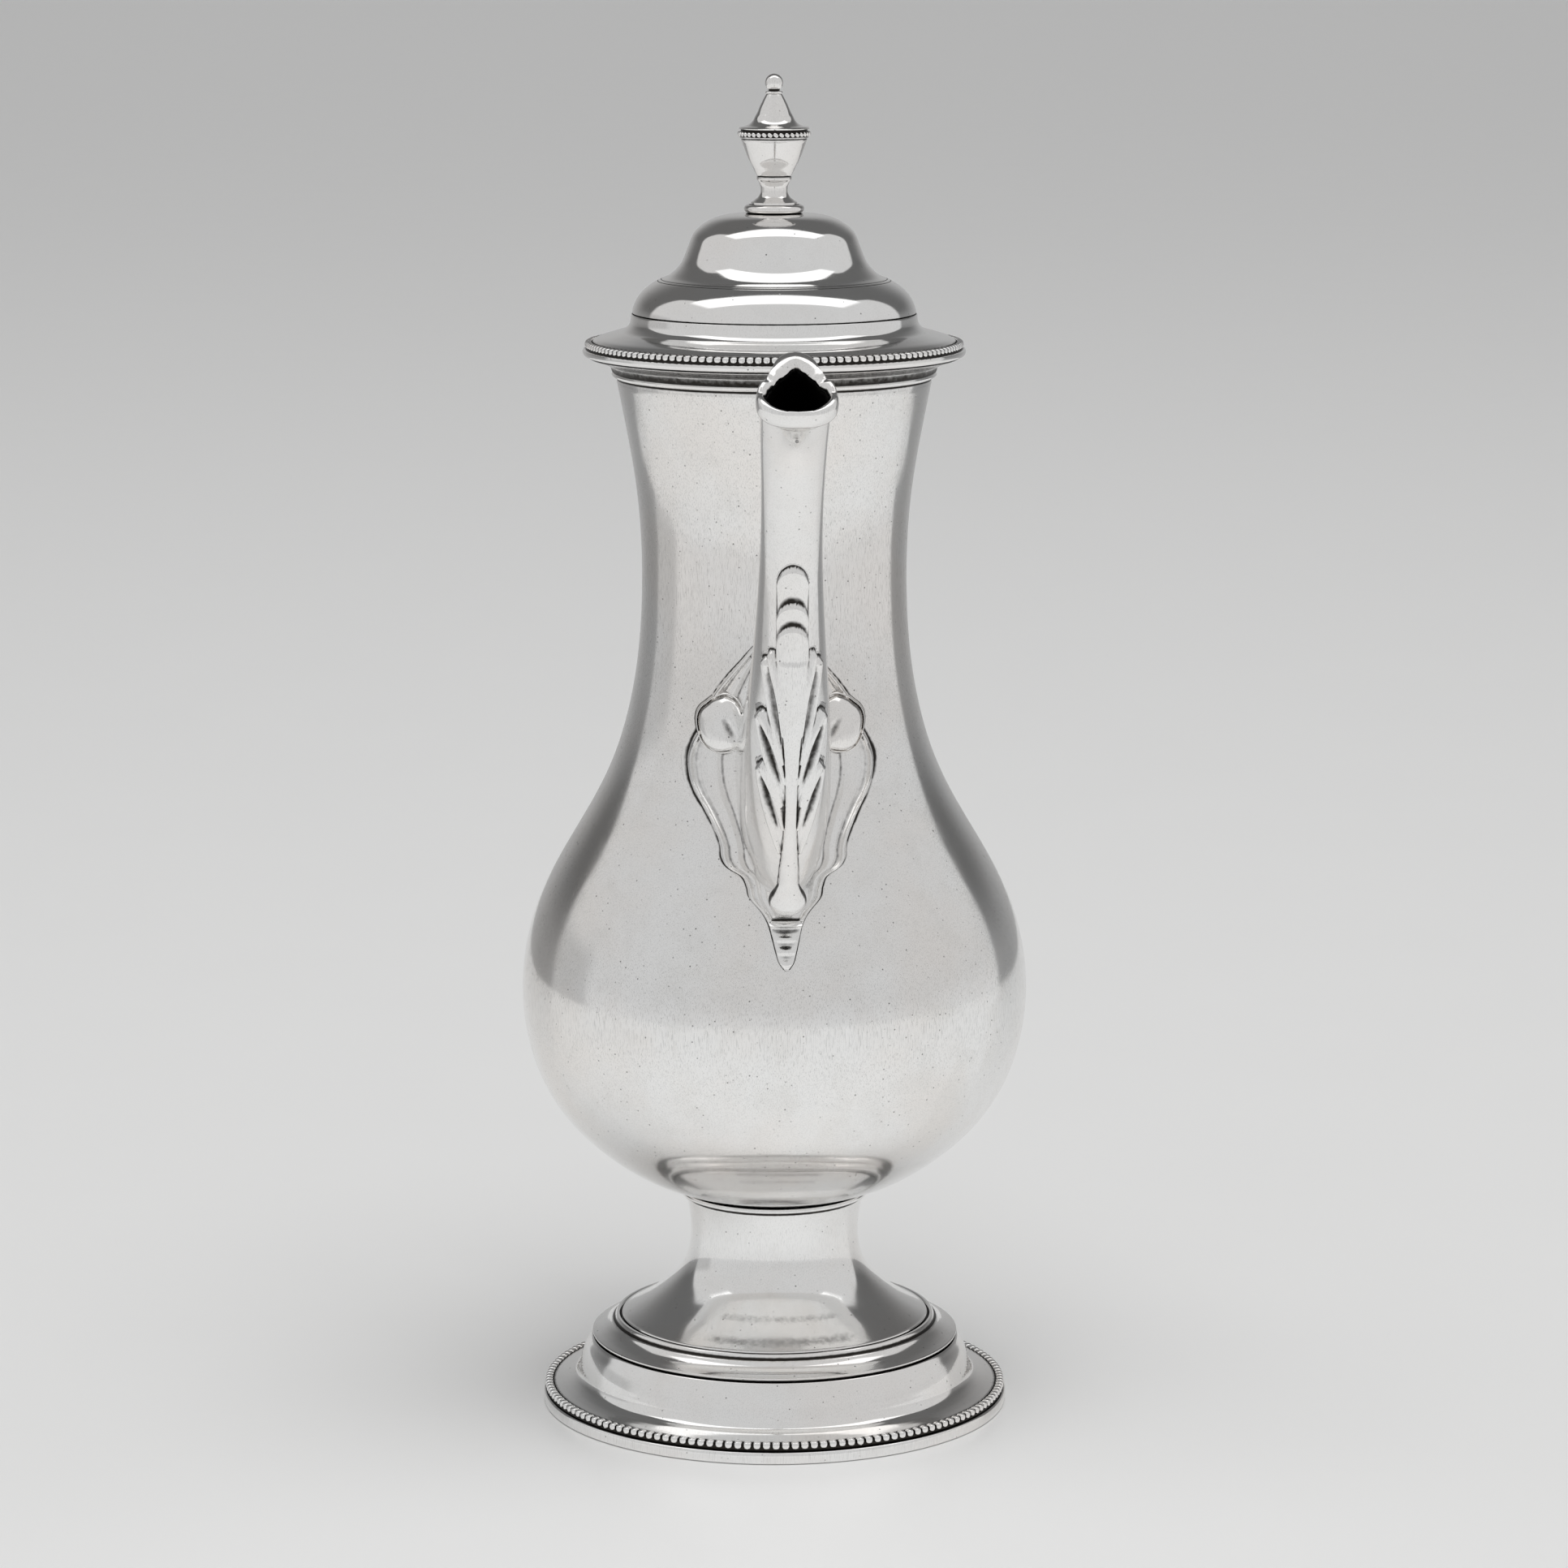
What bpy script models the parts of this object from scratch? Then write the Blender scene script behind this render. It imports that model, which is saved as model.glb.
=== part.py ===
"""A baluster coffee pot in silver with a hinged domed lid and a wooden handle.

Frame: origin at the centre of the foot's bottom, +Z up along the pot's axis, the spout towards -Y
and the handle towards +Y. The shapes are drawn in millimetres and written to the meshes in metres.
A turned outline is a list of (radius, height). An outline in the pot's middle plane is a list of
(forward, height) for the spout and (back, height) for the handle and the hinge.
"""

import math

import bpy
import bmesh
from mathutils import Matrix, Vector

MM = 0.001

# Driving dimensions, in millimetres
TOP = 310.0                 # tip of the finial's ball
FOOT_RADIUS = 54.5          # outside of the foot's rim
GAP = 0.3                   # clearance between pieces that are soldered together
BODY_WALL = 0.9
FOOT_WALL = 0.8
LID_WALL = 0.8
SPOUT_WALL = 1.0
PLATE_THICKNESS = 1.1       # the shell-shaped plate at the spout's root
LEAF_THICKNESS = 1.2
NECK_RADIUS = 35.9          # outside of the body at its top edge
RIM_Z = 245.7               # top edge of the body
HINGE_BACK = 47.0           # hinge axis, behind the pot's axis
HINGE_Z = 247.5
KNUCKLE_RADIUS = 2.3
HINGE_PIN_RADIUS = 0.9
PIN_CLEARANCE = 0.15
STUD_RADIUS = 1.5           # screw that holds the finial
STUD_HOLE = 1.9
HANDLE_PIN_RADIUS = 1.1

# How finely round shapes are divided
SEGMENTS = 32
SMALL_SEGMENTS = 16
SPOUT_SIDES = 16
HANDLE_SIDES = 12

SILVER = (0.80, 0.78, 0.75)
WOOD = (0.055, 0.026, 0.014)
STEEL = (0.55, 0.55, 0.56)


# ---------------------------------------------------------------- curves

def smooth(points, steps):
    """A smooth curve through the points, with this many steps from one point to the next."""
    first = tuple(2 * a - b for a, b in zip(points[0], points[1]))
    last = tuple(2 * a - b for a, b in zip(points[-1], points[-2]))
    padded = [first] + [tuple(p) for p in points] + [last]
    curve = []
    for i in range(1, len(padded) - 2):
        before, start, end, after = padded[i - 1:i + 3]
        for k in range(steps):
            t = k / steps
            curve.append(tuple(
                0.5 * (2 * b + (c - a) * t + (2 * a - 5 * b + 4 * c - d) * t ** 2
                       + (3 * b - a - 3 * c + d) * t ** 3)
                for a, b, c, d in zip(before, start, end, after)))
    curve.append(tuple(points[-1]))
    return curve


def arc(centre, radius, start, end, steps):
    """Points along an arc; the angles are in degrees from the outward direction."""
    points = []
    for k in range(steps + 1):
        angle = math.radians(start + (end - start) * k / steps)
        points.append((centre[0] + radius * math.cos(angle), centre[1] + radius * math.sin(angle)))
    return points


def offset(curve, distance):
    """The curve moved sideways by the distance, to the left of its direction."""
    moved = []
    for i, (r, z) in enumerate(curve):
        before = curve[max(i - 1, 0)]
        after = curve[min(i + 1, len(curve) - 1)]
        dr, dz = after[0] - before[0], after[1] - before[1]
        length = math.hypot(dr, dz)
        moved.append((max(r - distance * dz / length, 0.0), z + distance * dr / length))
    return moved


def sheet(curve, wall, level_ends=False):
    """A closed outline: the curve outside, and the curve moved inwards by the wall inside."""
    inner = offset(curve, wall)
    if level_ends:
        low, high = curve[0][1], curve[-1][1]
        inner = [(r, min(max(z, low), high)) for r, z in inner]
    return curve + inner[::-1]


def at_height(curve, z):
    """The radius where a rising curve passes the height."""
    for (r0, z0), (r1, z1) in zip(curve, curve[1:]):
        if z0 <= z <= z1 and z1 > z0:
            return r0 + (r1 - r0) * (z - z0) / (z1 - z0)
    return curve[-1][0] if z > curve[-1][1] else curve[0][0]


# ---------------------------------------------------------------- meshes

def material(name, colour, roughness, metallic):
    shader = bpy.data.materials.new(name)
    shader.use_nodes = True
    principled = shader.node_tree.nodes["Principled BSDF"]
    principled.inputs["Base Color"].default_value = (*colour, 1.0)
    principled.inputs["Roughness"].default_value = roughness
    principled.inputs["Metallic"].default_value = metallic
    shader.diffuse_color = (*colour, 1.0)
    return shader


def add_object(name, mesh_data, look):
    """Writes the shape, drawn in millimetres, to an object in metres."""
    bmesh.ops.recalc_face_normals(mesh_data, faces=mesh_data.faces)
    bmesh.ops.scale(mesh_data, vec=(MM, MM, MM), verts=mesh_data.verts)
    mesh = bpy.data.meshes.new(name)
    mesh_data.to_mesh(mesh)
    mesh_data.free()
    mesh.shade_smooth()
    mesh.set_sharp_from_angle(angle=math.radians(35))
    piece = bpy.data.objects.new(name, mesh)
    bpy.context.scene.collection.objects.link(piece)
    piece.data.materials.append(look(name))
    return piece


def silver(name):
    return material(name + "_silver", SILVER, 0.16, 1.0)


def wood(name):
    return material(name + "_wood", WOOD, 0.35, 0.0)


def steel(name):
    return material(name + "_steel", STEEL, 0.3, 1.0)


def revolved(outline, segments, closed):
    """A mesh turned from an outline about the Z axis. A point on the axis becomes one vertex."""
    mesh = bmesh.new()
    rings = []
    for r, z in outline:
        if r < 1e-6:
            rings.append([mesh.verts.new((0, 0, z))] * segments)
            continue
        rings.append([mesh.verts.new((r * math.sin(2 * math.pi * k / segments),
                                      -r * math.cos(2 * math.pi * k / segments), z))
                      for k in range(segments)])
    pairs = list(zip(rings, rings[1:]))
    if closed:
        pairs.append((rings[-1], rings[0]))
    for lower, upper in pairs:
        for k in range(segments):
            j = (k + 1) % segments
            corners = []
            for corner in (lower[k], lower[j], upper[j], upper[k]):
                if corner not in corners:
                    corners.append(corner)
            if len(corners) > 2:
                mesh.faces.new(corners)
    return mesh


def turned(name, outline, segments=SEGMENTS, look=silver):
    """A turned piece. An outline that starts and ends on the axis is already closed."""
    closed = outline[0][0] > 1e-6 or outline[-1][0] > 1e-6
    return add_object(name, revolved(outline, segments, closed), look)


def wire_ring(name, radius, height, thickness, segments=SEGMENTS):
    """A round wire bent into a ring."""
    section = arc((radius, height), thickness, 0, 300, 5)
    return turned(name, section, segments)


def lofted(name, rings, look=silver, closed=False):
    """A skin over rings of points: capped at both ends, or closed from the last to the first."""
    mesh = bmesh.new()
    loops = [[mesh.verts.new(point) for point in ring] for ring in rings]
    pairs = list(zip(loops, loops[1:]))
    if closed:
        pairs.append((loops[-1], loops[0]))
    else:
        mesh.faces.new(loops[0])
        mesh.faces.new(loops[-1])
    for a, b in pairs:
        for k in range(len(a)):
            j = (k + 1) % len(a)
            mesh.faces.new((a[k], a[j], b[j], b[k]))
    return add_object(name, mesh, look)


def extruded(name, outline, left, right, look=silver):
    """An outline of (back, height) in the middle plane, extruded across it."""
    rings = [[(x, y, z) for y, z in outline] for x in (left, right)]
    return lofted(name, rings, look)


def crosswise_rod(name, back, height, radius, half_length, sides=SMALL_SEGMENTS, look=silver):
    """A rod that lies across the pot, along X."""
    return extruded(name, arc((back, height), radius, 0, 360 - 360 / sides, sides - 1),
                    -half_length, half_length, look)


def hide(tool):
    tool.hide_render = True
    tool.display_type = "WIRE"


def combine(piece, tool, operation):
    """Leaves a Boolean modifier on the piece that uses the tool, which becomes a guide."""
    modifier = piece.modifiers.new(operation.lower() + "_" + tool.name, "BOOLEAN")
    modifier.operation = operation
    modifier.solver = "EXACT"
    modifier.object = tool
    hide(tool)


def cut(piece, *tools):
    for tool in tools:
        combine(piece, tool, "DIFFERENCE")


def join(piece, *tools):
    for tool in tools:
        combine(piece, tool, "UNION")


# ---------------------------------------------------------------- body and foot

def body_curve(steps=1):
    """The outside of the body, from the middle of its bottom to its top edge."""
    curve = smooth([(0, 48.0), (10, 48.6), (20.4, 50.7), (30.4, 54.3), (39.3, 60), (48.2, 68),
                    (53.1, 75), (56.8, 84), (59.0, 97), (57.9, 110), (54.9, 120), (50.0, 130),
                    (43.8, 140), (37.4, 152), (33.2, 166), (31.0, 180), (30.3, 196), (30.7, 208),
                    (32.0, 220), (NECK_RADIUS, 240.3)], steps)
    return curve + [(NECK_RADIUS, RIM_Z)]


def strainer_drills():
    """The holes behind the spout, as a bundle of drills that lie along Y."""
    mesh = bmesh.new()
    drill_radius = 1.5
    row_pitch = 5.0
    for row in range(7):
        z = 144 + row * row_pitch
        across = (-5, 0, 5) if row % 2 else (-2.5, 2.5)
        for x in across:
            place = Matrix.Translation((x, -42, z)) @ Matrix.Rotation(math.pi / 2, 4, "X")
            bmesh.ops.create_cone(mesh, cap_ends=True, segments=8, radius1=drill_radius,
                                  radius2=drill_radius, depth=36, matrix=place)
    return add_object("strainer_drills", mesh, steel)


def make_body():
    shell = turned("body_shell", sheet(body_curve(), BODY_WALL, level_ends=True))
    cut(shell, strainer_drills())
    bead = arc((NECK_RADIUS + 0.6, 241.9), 0.5, -90, 60, 3)
    cavetto = smooth([(37.3, 242.7), (37.6, 243.7), (38.9, 244.9), (41.8, 245.7)], 1)
    inner = NECK_RADIUS + GAP
    top = [(42.2, 246.0), (inner, 246.0), (inner, 241.4)]
    turned("neck_rim_moulding", bead + cavetto + top)


def make_foot():
    stem = smooth([(35.9, 20.8), (33.0, 22.5), (27.6, 26.0), (22.8, 30.0), (20.9, 32.1), (19.8, 35),
                   (19.5, 39.5), (20.0, 45.5), (20.7, 50.2)], 1)
    turned("foot_stem", sheet(stem, FOOT_WALL, level_ends=True))
    wire_ring("stem_joint_wire", 21.5, 49.8, 0.42)
    cavetto = smooth([(42.7, 16.0), (42.4, 16.6), (40.6, 17.2), (39.0, 18.2), (37.9, 19.5)], 1)
    inside = [(37.6, 20.2), (36.4, 20.45), (35.0, 20.4), (36.0, 19.0), (38.0, 17.3), (40.8, 16.0)]
    turned("foot_moulding", cavetto + inside)
    dome = smooth([(52.0, 4.2), (48.4, 4.8), (46.6, 6.2), (45.9, 8.6), (44.6, 12.2),
                   (42.7, 15.7)], 1)
    turned("foot_dome", sheet(dome, FOOT_WALL))
    wire_ring("foot_bead_border", 53.3, 4.2, 0.95)
    turned("foot_rim_band", [(50.6, 0), (FOOT_RADIUS - 0.2, 0), (FOOT_RADIUS, 0.4),
                             (FOOT_RADIUS, 2.5), (FOOT_RADIUS - 0.4, 2.9), (50.6, 2.9)])


# ---------------------------------------------------------------- spout

def spout_stations(steps=1):
    """Sections of the spout: front point, back point, each (forward, height), and half-width."""
    return smooth([
        (42, 127.0, 24, 181.0, 10.6),
        (60, 132.5, 35, 183.5, 10.2),
        (66.5, 138.5, 41, 185.5, 9.9),
        (71.5, 146.5, 46.5, 188.2, 9.6),
        (78.5, 161, 56, 194.5, 8.8),
        (82, 178, 63, 203.0, 7.8),
        (83, 193, 67.5, 211.0, 7.1),
        (84.5, 206, 71, 219.0, 6.7),
        (88, 219, 75.5, 228.0, 6.7),
        (94, 230.5, 81, 239.0, 7.1),
        (101.5, 238.3, 87.5, 249.0, 7.6),
        (109.0, 242.4, 92.5, 254.7, 8.3),
    ], steps)


def spout_point(station, angle, proud):
    """A point on a section; the angle is 0 at the front, and proud is how far it stands out."""
    front_y, front_z, back_y, back_z, half_width = station
    across = Vector((front_y - back_y, front_z - back_z))
    half_depth = across.length / 2 + proud
    across.normalize()
    forward = (front_y + back_y) / 2 + across.x * half_depth * math.cos(angle)
    height = (front_z + back_z) / 2 + across.y * half_depth * math.cos(angle)
    return ((half_width + proud) * math.sin(angle), -forward, height)


def spout_rings(stations, proud):
    return [[spout_point(station, 2 * math.pi * k / SPOUT_SIDES, proud)
             for k in range(SPOUT_SIDES)] for station in stations]


def body_clearance(name, distance):
    """A solid that fills the body and stands proud of it, to cut what is fixed to the body."""
    curve = [(r, z) for r, z in offset(body_curve(), -distance) if r > 0.5]
    return turned(name, [(0, curve[0][1])] + curve + [(0, curve[-1][1])])


def plate_half_width():
    """The half-width of the root plate's outline by height, from its tail's tip to its top."""
    return smooth([(0.4, 115.2), (2.4, 119), (3.9, 124.6), (7.9, 129.9), (9.6, 134.3),
                   (13.4, 137.2), (14.6, 141.5), (17.4, 147.5), (20.6, 153.3), (20.9, 158.5),
                   (18.0, 165.3), (15.6, 172), (11.2, 178), (6.5, 183.5), (0.6, 188.0)], 1)


def make_root_plate(spout_space):
    """The shell-shaped plate that lies on the body around the spout's root."""
    curve = body_curve(4)
    columns = 8
    rings = []
    for half_width, z in plate_half_width():
        near = at_height(curve, z) + GAP
        far = near + PLATE_THICKNESS
        xs = [half_width * (2 * k / columns - 1) for k in range(columns + 1)]
        front = [(x, -math.sqrt(far ** 2 - x ** 2), z) for x in xs]
        back = [(x, -math.sqrt(near ** 2 - x ** 2), z) for x in reversed(xs)]
        rings.append(front + back)
    plate = lofted("spout_root_plate", rings)
    cut(plate, body_clearance("plate_bed", GAP), spout_space)


def make_ears(spout_space):
    """The two bean-shaped lobes beside the spout's root."""
    bed = body_clearance("ear_bed", PLATE_THICKNESS + 3 * GAP)
    for name, side in (("spout_ear_left", -1), ("spout_ear_right", 1)):
        mesh = bmesh.new()
        place = (Matrix.Translation((side * 13.2, -32.0, 166.0))
                 @ Matrix.Rotation(side * math.radians(24), 4, "Z")
                 @ Matrix.Rotation(side * math.radians(12), 4, "Y")
                 @ Matrix.Diagonal((5.4, 4.6, 6.3, 1.0)))
        bmesh.ops.create_uvsphere(mesh, u_segments=14, v_segments=9, radius=1.0, matrix=place)
        ear = add_object(name, mesh, silver)
        cut(ear, bed, spout_space)


def make_leaf(spout_space):
    """The leaf down the front of the spout, with a knob at its foot."""
    width_by_height = smooth([(4.0, 132.0), (2.4, 139.5), (2.4, 146), (4.8, 155), (6.6, 164.5),
                              (6.8, 173), (5.8, 184), (3.6, 192), (3.4, 203), (1.2, 207.6)], 2)
    stations = [s for s in spout_stations(3) if 132.0 < s[1] < 208.0]
    rings = []
    columns = 6
    for station in stations:
        half_width = at_height(width_by_height, station[1])
        limit = math.asin(min(half_width / (station[4] + GAP), 0.98))
        angles = [limit * (2 * k / columns - 1) for k in range(columns + 1)]
        crown = [LEAF_THICKNESS * (1 - 0.6 * abs(a) / limit) for a in angles]
        top = [spout_point(station, a, GAP + h) for a, h in zip(angles, crown)]
        under = [spout_point(station, a, GAP) for a in reversed(angles)]
        rings.append(top + under)
    leaf = lofted("spout_leaf", rings)
    mesh = bmesh.new()
    place = Matrix.Translation((0, -60.6, 131.8)) @ Matrix.Diagonal((4.2, 3.4, 3.6, 1.0))
    bmesh.ops.create_uvsphere(mesh, u_segments=12, v_segments=8, radius=1.0, matrix=place)
    knob = add_object("leaf_knob", mesh, silver)
    cut(knob, spout_space)
    join(leaf, knob)


def make_spout():
    stations = spout_stations()
    inner = [spout_rings([station], -SPOUT_WALL)[0] for station in reversed(stations)]
    spout = lofted("spout", spout_rings(stations, 0) + inner, closed=True)
    cut(spout, body_clearance("spout_bed", GAP))
    spout_space = lofted("spout_space", spout_rings(stations, GAP))
    make_root_plate(spout_space)
    make_ears(spout_space)
    make_leaf(spout_space)


# ---------------------------------------------------------------- handle

UPPER_SOCKET = (29.3, 219.97)      # where each socket's axis starts, inside the body
UPPER_SLOPE = math.atan2(0.2283, 0.9736)
LOWER_SOCKET = (53.1, 104.0)
LOWER_SLOPE = math.atan2(0.3162, 0.9487)
SOCKET_BORE = 6.25
WOOD_END = 11.5                    # how far along the socket's axis the wood begins


def along(start, slope, distance):
    """A point of the middle plane, at a distance along a sloping axis."""
    return (start[0] + distance * math.cos(slope), start[1] + distance * math.sin(slope))


def tube_sections(points, steps):
    """Rings about a curve in the middle plane; a point is (back, height, half-width, half-depth)."""
    curve = smooth(points, steps)
    rings = []
    for i, (y, z, half_width, half_depth) in enumerate(curve):
        before, after = curve[max(i - 1, 0)], curve[min(i + 1, len(curve) - 1)]
        direction = Vector((after[0] - before[0], after[1] - before[1])).normalized()
        ring = []
        for k in range(HANDLE_SIDES):
            angle = 2 * math.pi * k / HANDLE_SIDES
            out = half_depth * math.cos(angle)
            ring.append((half_width * math.sin(angle), y + out * direction.y,
                         z - out * direction.x))
        rings.append(ring)
    return rings


def handle_route():
    """The middle line of the handle from the upper socket to the lower, with its half-sizes."""
    upper = [(*along(UPPER_SOCKET, UPPER_SLOPE, d), 5.9, 5.9) for d in (WOOD_END, 19.0, 26.5)]
    bow = [(65.5, 230.2, 6.3, 6.6), (78, 232.2, 6.6, 7.3), (91, 228.0, 6.6, 7.2),
           (99.8, 216, 6.5, 6.9), (102.7, 199, 6.4, 6.6), (101.2, 180, 6.2, 6.3),
           (96.8, 161, 6.0, 6.0), (91.3, 144, 5.8, 5.9), (87.2, 130, 5.7, 5.8),
           (83.0, 119.5, 5.7, 5.8)]
    lower = [(*along(LOWER_SOCKET, LOWER_SLOPE, d), 5.9, 5.9) for d in (24.5, 18.0, WOOD_END)]
    return upper + bow + lower


def make_socket(name, start, slope):
    """A round silver socket, closed at the body and open at the wood."""
    outer = smooth([(10.4, 0), (9.4, 5.5), (7.9, 9.5), (7.4, 14.5), (7.5, 19.6)], 1)
    rim = [(8.5, 20.1), (8.5, 21.6), (8.0, 22.1)]
    bore = [(SOCKET_BORE, 22.1), (SOCKET_BORE, WOOD_END - 1.0), (0, WOOD_END - 1.0)]
    mesh = revolved([(0, 0)] + outer + rim + bore, 20, closed=False)
    place = (Matrix.Translation((0, start[0], start[1]))
             @ Matrix.Rotation(slope - math.pi / 2, 4, "X"))
    bmesh.ops.transform(mesh, matrix=place, verts=mesh.verts)
    return add_object(name, mesh, silver)


def make_handle():
    handle = lofted("handle_wood", tube_sections(handle_route(), 1), wood)
    thumb = lofted("handle_thumb_scroll", tube_sections(
        [(84, 232, 4.8, 5.0), (77, 238.2, 4.8, 3.8), (70, 241.6, 4.4, 2.8),
         (64, 242.6, 3.8, 2.0), (60.5, 241.2, 3.0, 1.2)], 1), wood)
    spur = lofted("handle_lower_spur", tube_sections(
        [(91, 142, 4.2, 4.2), (93.5, 132, 4.0, 3.4), (97.5, 124.5, 3.6, 2.6),
         (102.5, 120.5, 3.0, 1.7), (105.5, 121.5, 2.2, 0.9)], 1), wood)
    join(handle, thumb, spur)
    bed = body_clearance("socket_bed", GAP)
    for place, start, slope in (("upper", UPPER_SOCKET, UPPER_SLOPE),
                                ("lower", LOWER_SOCKET, LOWER_SLOPE)):
        socket = make_socket("handle_" + place + "_socket", start, slope)
        back, height = along(start, slope, 16.5)
        crosswise_rod("handle_" + place + "_pin", back, height, HANDLE_PIN_RADIUS, 8.1, 12)
        drill = crosswise_rod(place + "_pin_drill", back, height,
                              HANDLE_PIN_RADIUS + PIN_CLEARANCE, 12, 12)
        cut(socket, bed, drill)
        cut(handle, drill)


# ---------------------------------------------------------------- lid and hinge

def make_lid():
    top = smooth([(41.1, 249.45), (37.4, 250.75), (34.9, 251.7), (33.5, 252.9), (32.5, 255.95)], 1)
    rim = [(34.25, 246.35), (43.3, 246.35), (43.7, 246.8), (43.7, 247.45), (43.3, 247.85),
           (41.1, 247.85)]
    inside = [(31.5, 255.95), (31.9, 253.6), (32.9, 251.8), (34.25, 250.6)]
    turned("lid_flange", rim + top + inside)
    wire_ring("lid_bead_border", 42.3, 248.95, 0.8)
    dome = smooth([(32.4, 256.3), (31.5, 258.8), (29.4, 261.6), (25.0, 264.1), (21.4, 266.6),
                   (19.9, 269.6), (18.6, 273.0), (16.1, 276.0), (11.0, 277.9),
                   (STUD_HOLE, 278.6)], 1)
    turned("lid_dome", sheet(dome, LID_WALL, level_ends=True))
    turned("lid_bezel", [(32.85, 240.3), (33.9, 240.3), (33.9, 250.2), (32.85, 250.2)])


def make_hinge():
    outline = arc((HINGE_BACK, HINGE_Z), KNUCKLE_RADIUS, -20, 200, 9)
    web = [(HINGE_BACK - 2.2, 244.0), (HINGE_BACK + 2.2, 244.0)]
    bore = crosswise_rod("hinge_bore", HINGE_BACK, HINGE_Z, HINGE_PIN_RADIUS + PIN_CLEARANCE, 12)
    body_leaf = extruded("hinge_body_leaf", [(39.7, 242.9), (48.6, 242.9), (48.6, 244.7),
                                             (39.7, 244.7)], -8, 8)
    for side, left, right in (("left", -8.0, -2.9), ("right", 2.9, 8.0)):
        join(body_leaf, extruded("knuckle_" + side, outline + web, left, right))
    cut(body_leaf, bore)
    tongue = arc((HINGE_BACK, HINGE_Z), KNUCKLE_RADIUS, -154, 159, 12)
    lid_leaf = extruded("hinge_lid_leaf", tongue + [(44.05, 248.3), (44.05, 246.5)], -2.6, 2.6)
    cut(lid_leaf, bore)
    crosswise_rod("hinge_pin", HINGE_BACK, HINGE_Z, HINGE_PIN_RADIUS, 8.6, 12)


def make_finial():
    torus = arc((6.0, 279.75), 0.8, -90, 90, 4)
    waist = smooth([(5.2, 280.9), (4.4, 281.7), (3.4, 282.6), (3.1, 284.2), (3.7, 285.7),
                    (3.9, 286.5)], 1)
    turned("finial_base", [(STUD_HOLE, 279.0)] + torus + waist + [(STUD_HOLE, 286.5)],
           SMALL_SEGMENTS)
    cup = smooth([(3.9, 287.0), (4.9, 289.0), (6.25, 291.8), (7.35, 295.2)], 2)
    turned("finial_urn", [(0, 291.3), (STUD_HOLE, 291.3), (STUD_HOLE, 287.0)] + cup + [(0, 295.2)],
           SMALL_SEGMENTS)
    wire_ring("finial_bead_band", 7.4, 296.6, 0.95, SMALL_SEGMENTS)
    cone = smooth([(7.7, 298.0), (5.2, 299.0), (4.2, 300.1), (3.0, 302.8), (1.95, 305.5)], 2)
    ball_radius = 2.05
    ball = arc((0, TOP - ball_radius), ball_radius, -48, 90, 6)
    spigot = [(0, 295.55), (6.1, 295.55), (6.1, 297.6), (7.7, 297.85)]
    turned("finial_cap", spigot + cone + ball[:-1] + [(0, TOP)], SMALL_SEGMENTS)
    turned("finial_stud", [(0, 273.6), (STUD_RADIUS, 273.6), (STUD_RADIUS, 291.0), (0, 291.0)],
           SMALL_SEGMENTS, steel)
    turned("finial_nut", [(STUD_HOLE, 274.8), (4.2, 274.8), (4.2, 277.3), (STUD_HOLE, 277.3)], 6)


# ---------------------------------------------------------------- bodies

POT_PIECES = ("body_shell", "neck_rim_moulding", "foot_stem", "stem_joint_wire", "foot_moulding",
              "foot_dome", "foot_bead_border", "foot_rim_band", "spout", "spout_root_plate",
              "spout_ear_left", "spout_ear_right", "spout_leaf", "handle_wood",
              "handle_upper_socket", "handle_lower_socket", "handle_upper_pin",
              "handle_lower_pin", "hinge_body_leaf", "hinge_pin")
LID_PIECES = ("lid_flange", "lid_dome", "lid_bead_border", "lid_bezel", "hinge_lid_leaf",
              "finial_base", "finial_urn", "finial_bead_band", "finial_cap", "finial_stud",
              "finial_nut")


def add_body(name, location, pieces):
    """An empty that carries a rigid group of pieces, placed where the group turns."""
    empty = bpy.data.objects.new(name, None)
    empty.location = location
    bpy.context.scene.collection.objects.link(empty)
    bpy.context.view_layer.update()
    for piece in pieces:
        child = bpy.data.objects[piece]
        child.parent = empty
        child.matrix_parent_inverse = empty.matrix_world.inverted()


def main():
    for leftover in list(bpy.data.objects):
        bpy.data.objects.remove(leftover)
    make_body()
    make_foot()
    make_spout()
    make_handle()
    make_lid()
    make_hinge()
    make_finial()
    add_body("pot", (0, 0, 0), POT_PIECES)
    add_body("lid", (0, HINGE_BACK * MM, HINGE_Z * MM), LID_PIECES)


main()
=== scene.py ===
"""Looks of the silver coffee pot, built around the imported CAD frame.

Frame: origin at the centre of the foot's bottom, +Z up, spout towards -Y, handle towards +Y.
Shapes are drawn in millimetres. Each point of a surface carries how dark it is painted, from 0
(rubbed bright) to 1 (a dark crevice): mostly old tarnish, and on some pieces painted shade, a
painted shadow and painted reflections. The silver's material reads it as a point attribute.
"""

import math

import bmesh
import bpy
import numpy as np
from mathutils import Matrix, Vector


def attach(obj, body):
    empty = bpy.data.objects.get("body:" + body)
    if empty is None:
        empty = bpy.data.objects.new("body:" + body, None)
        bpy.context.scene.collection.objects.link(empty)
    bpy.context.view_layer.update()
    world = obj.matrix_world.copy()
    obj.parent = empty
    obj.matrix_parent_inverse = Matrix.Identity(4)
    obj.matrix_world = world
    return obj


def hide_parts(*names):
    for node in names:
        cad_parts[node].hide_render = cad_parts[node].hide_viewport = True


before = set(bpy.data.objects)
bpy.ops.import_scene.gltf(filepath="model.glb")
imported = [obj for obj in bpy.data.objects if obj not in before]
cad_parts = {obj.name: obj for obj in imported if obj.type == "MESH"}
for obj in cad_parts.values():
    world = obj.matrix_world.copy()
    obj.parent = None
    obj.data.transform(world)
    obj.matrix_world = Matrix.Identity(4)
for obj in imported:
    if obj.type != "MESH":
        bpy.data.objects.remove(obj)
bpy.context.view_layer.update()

MM = 0.001
NECK_RADIUS = 35.9
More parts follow.
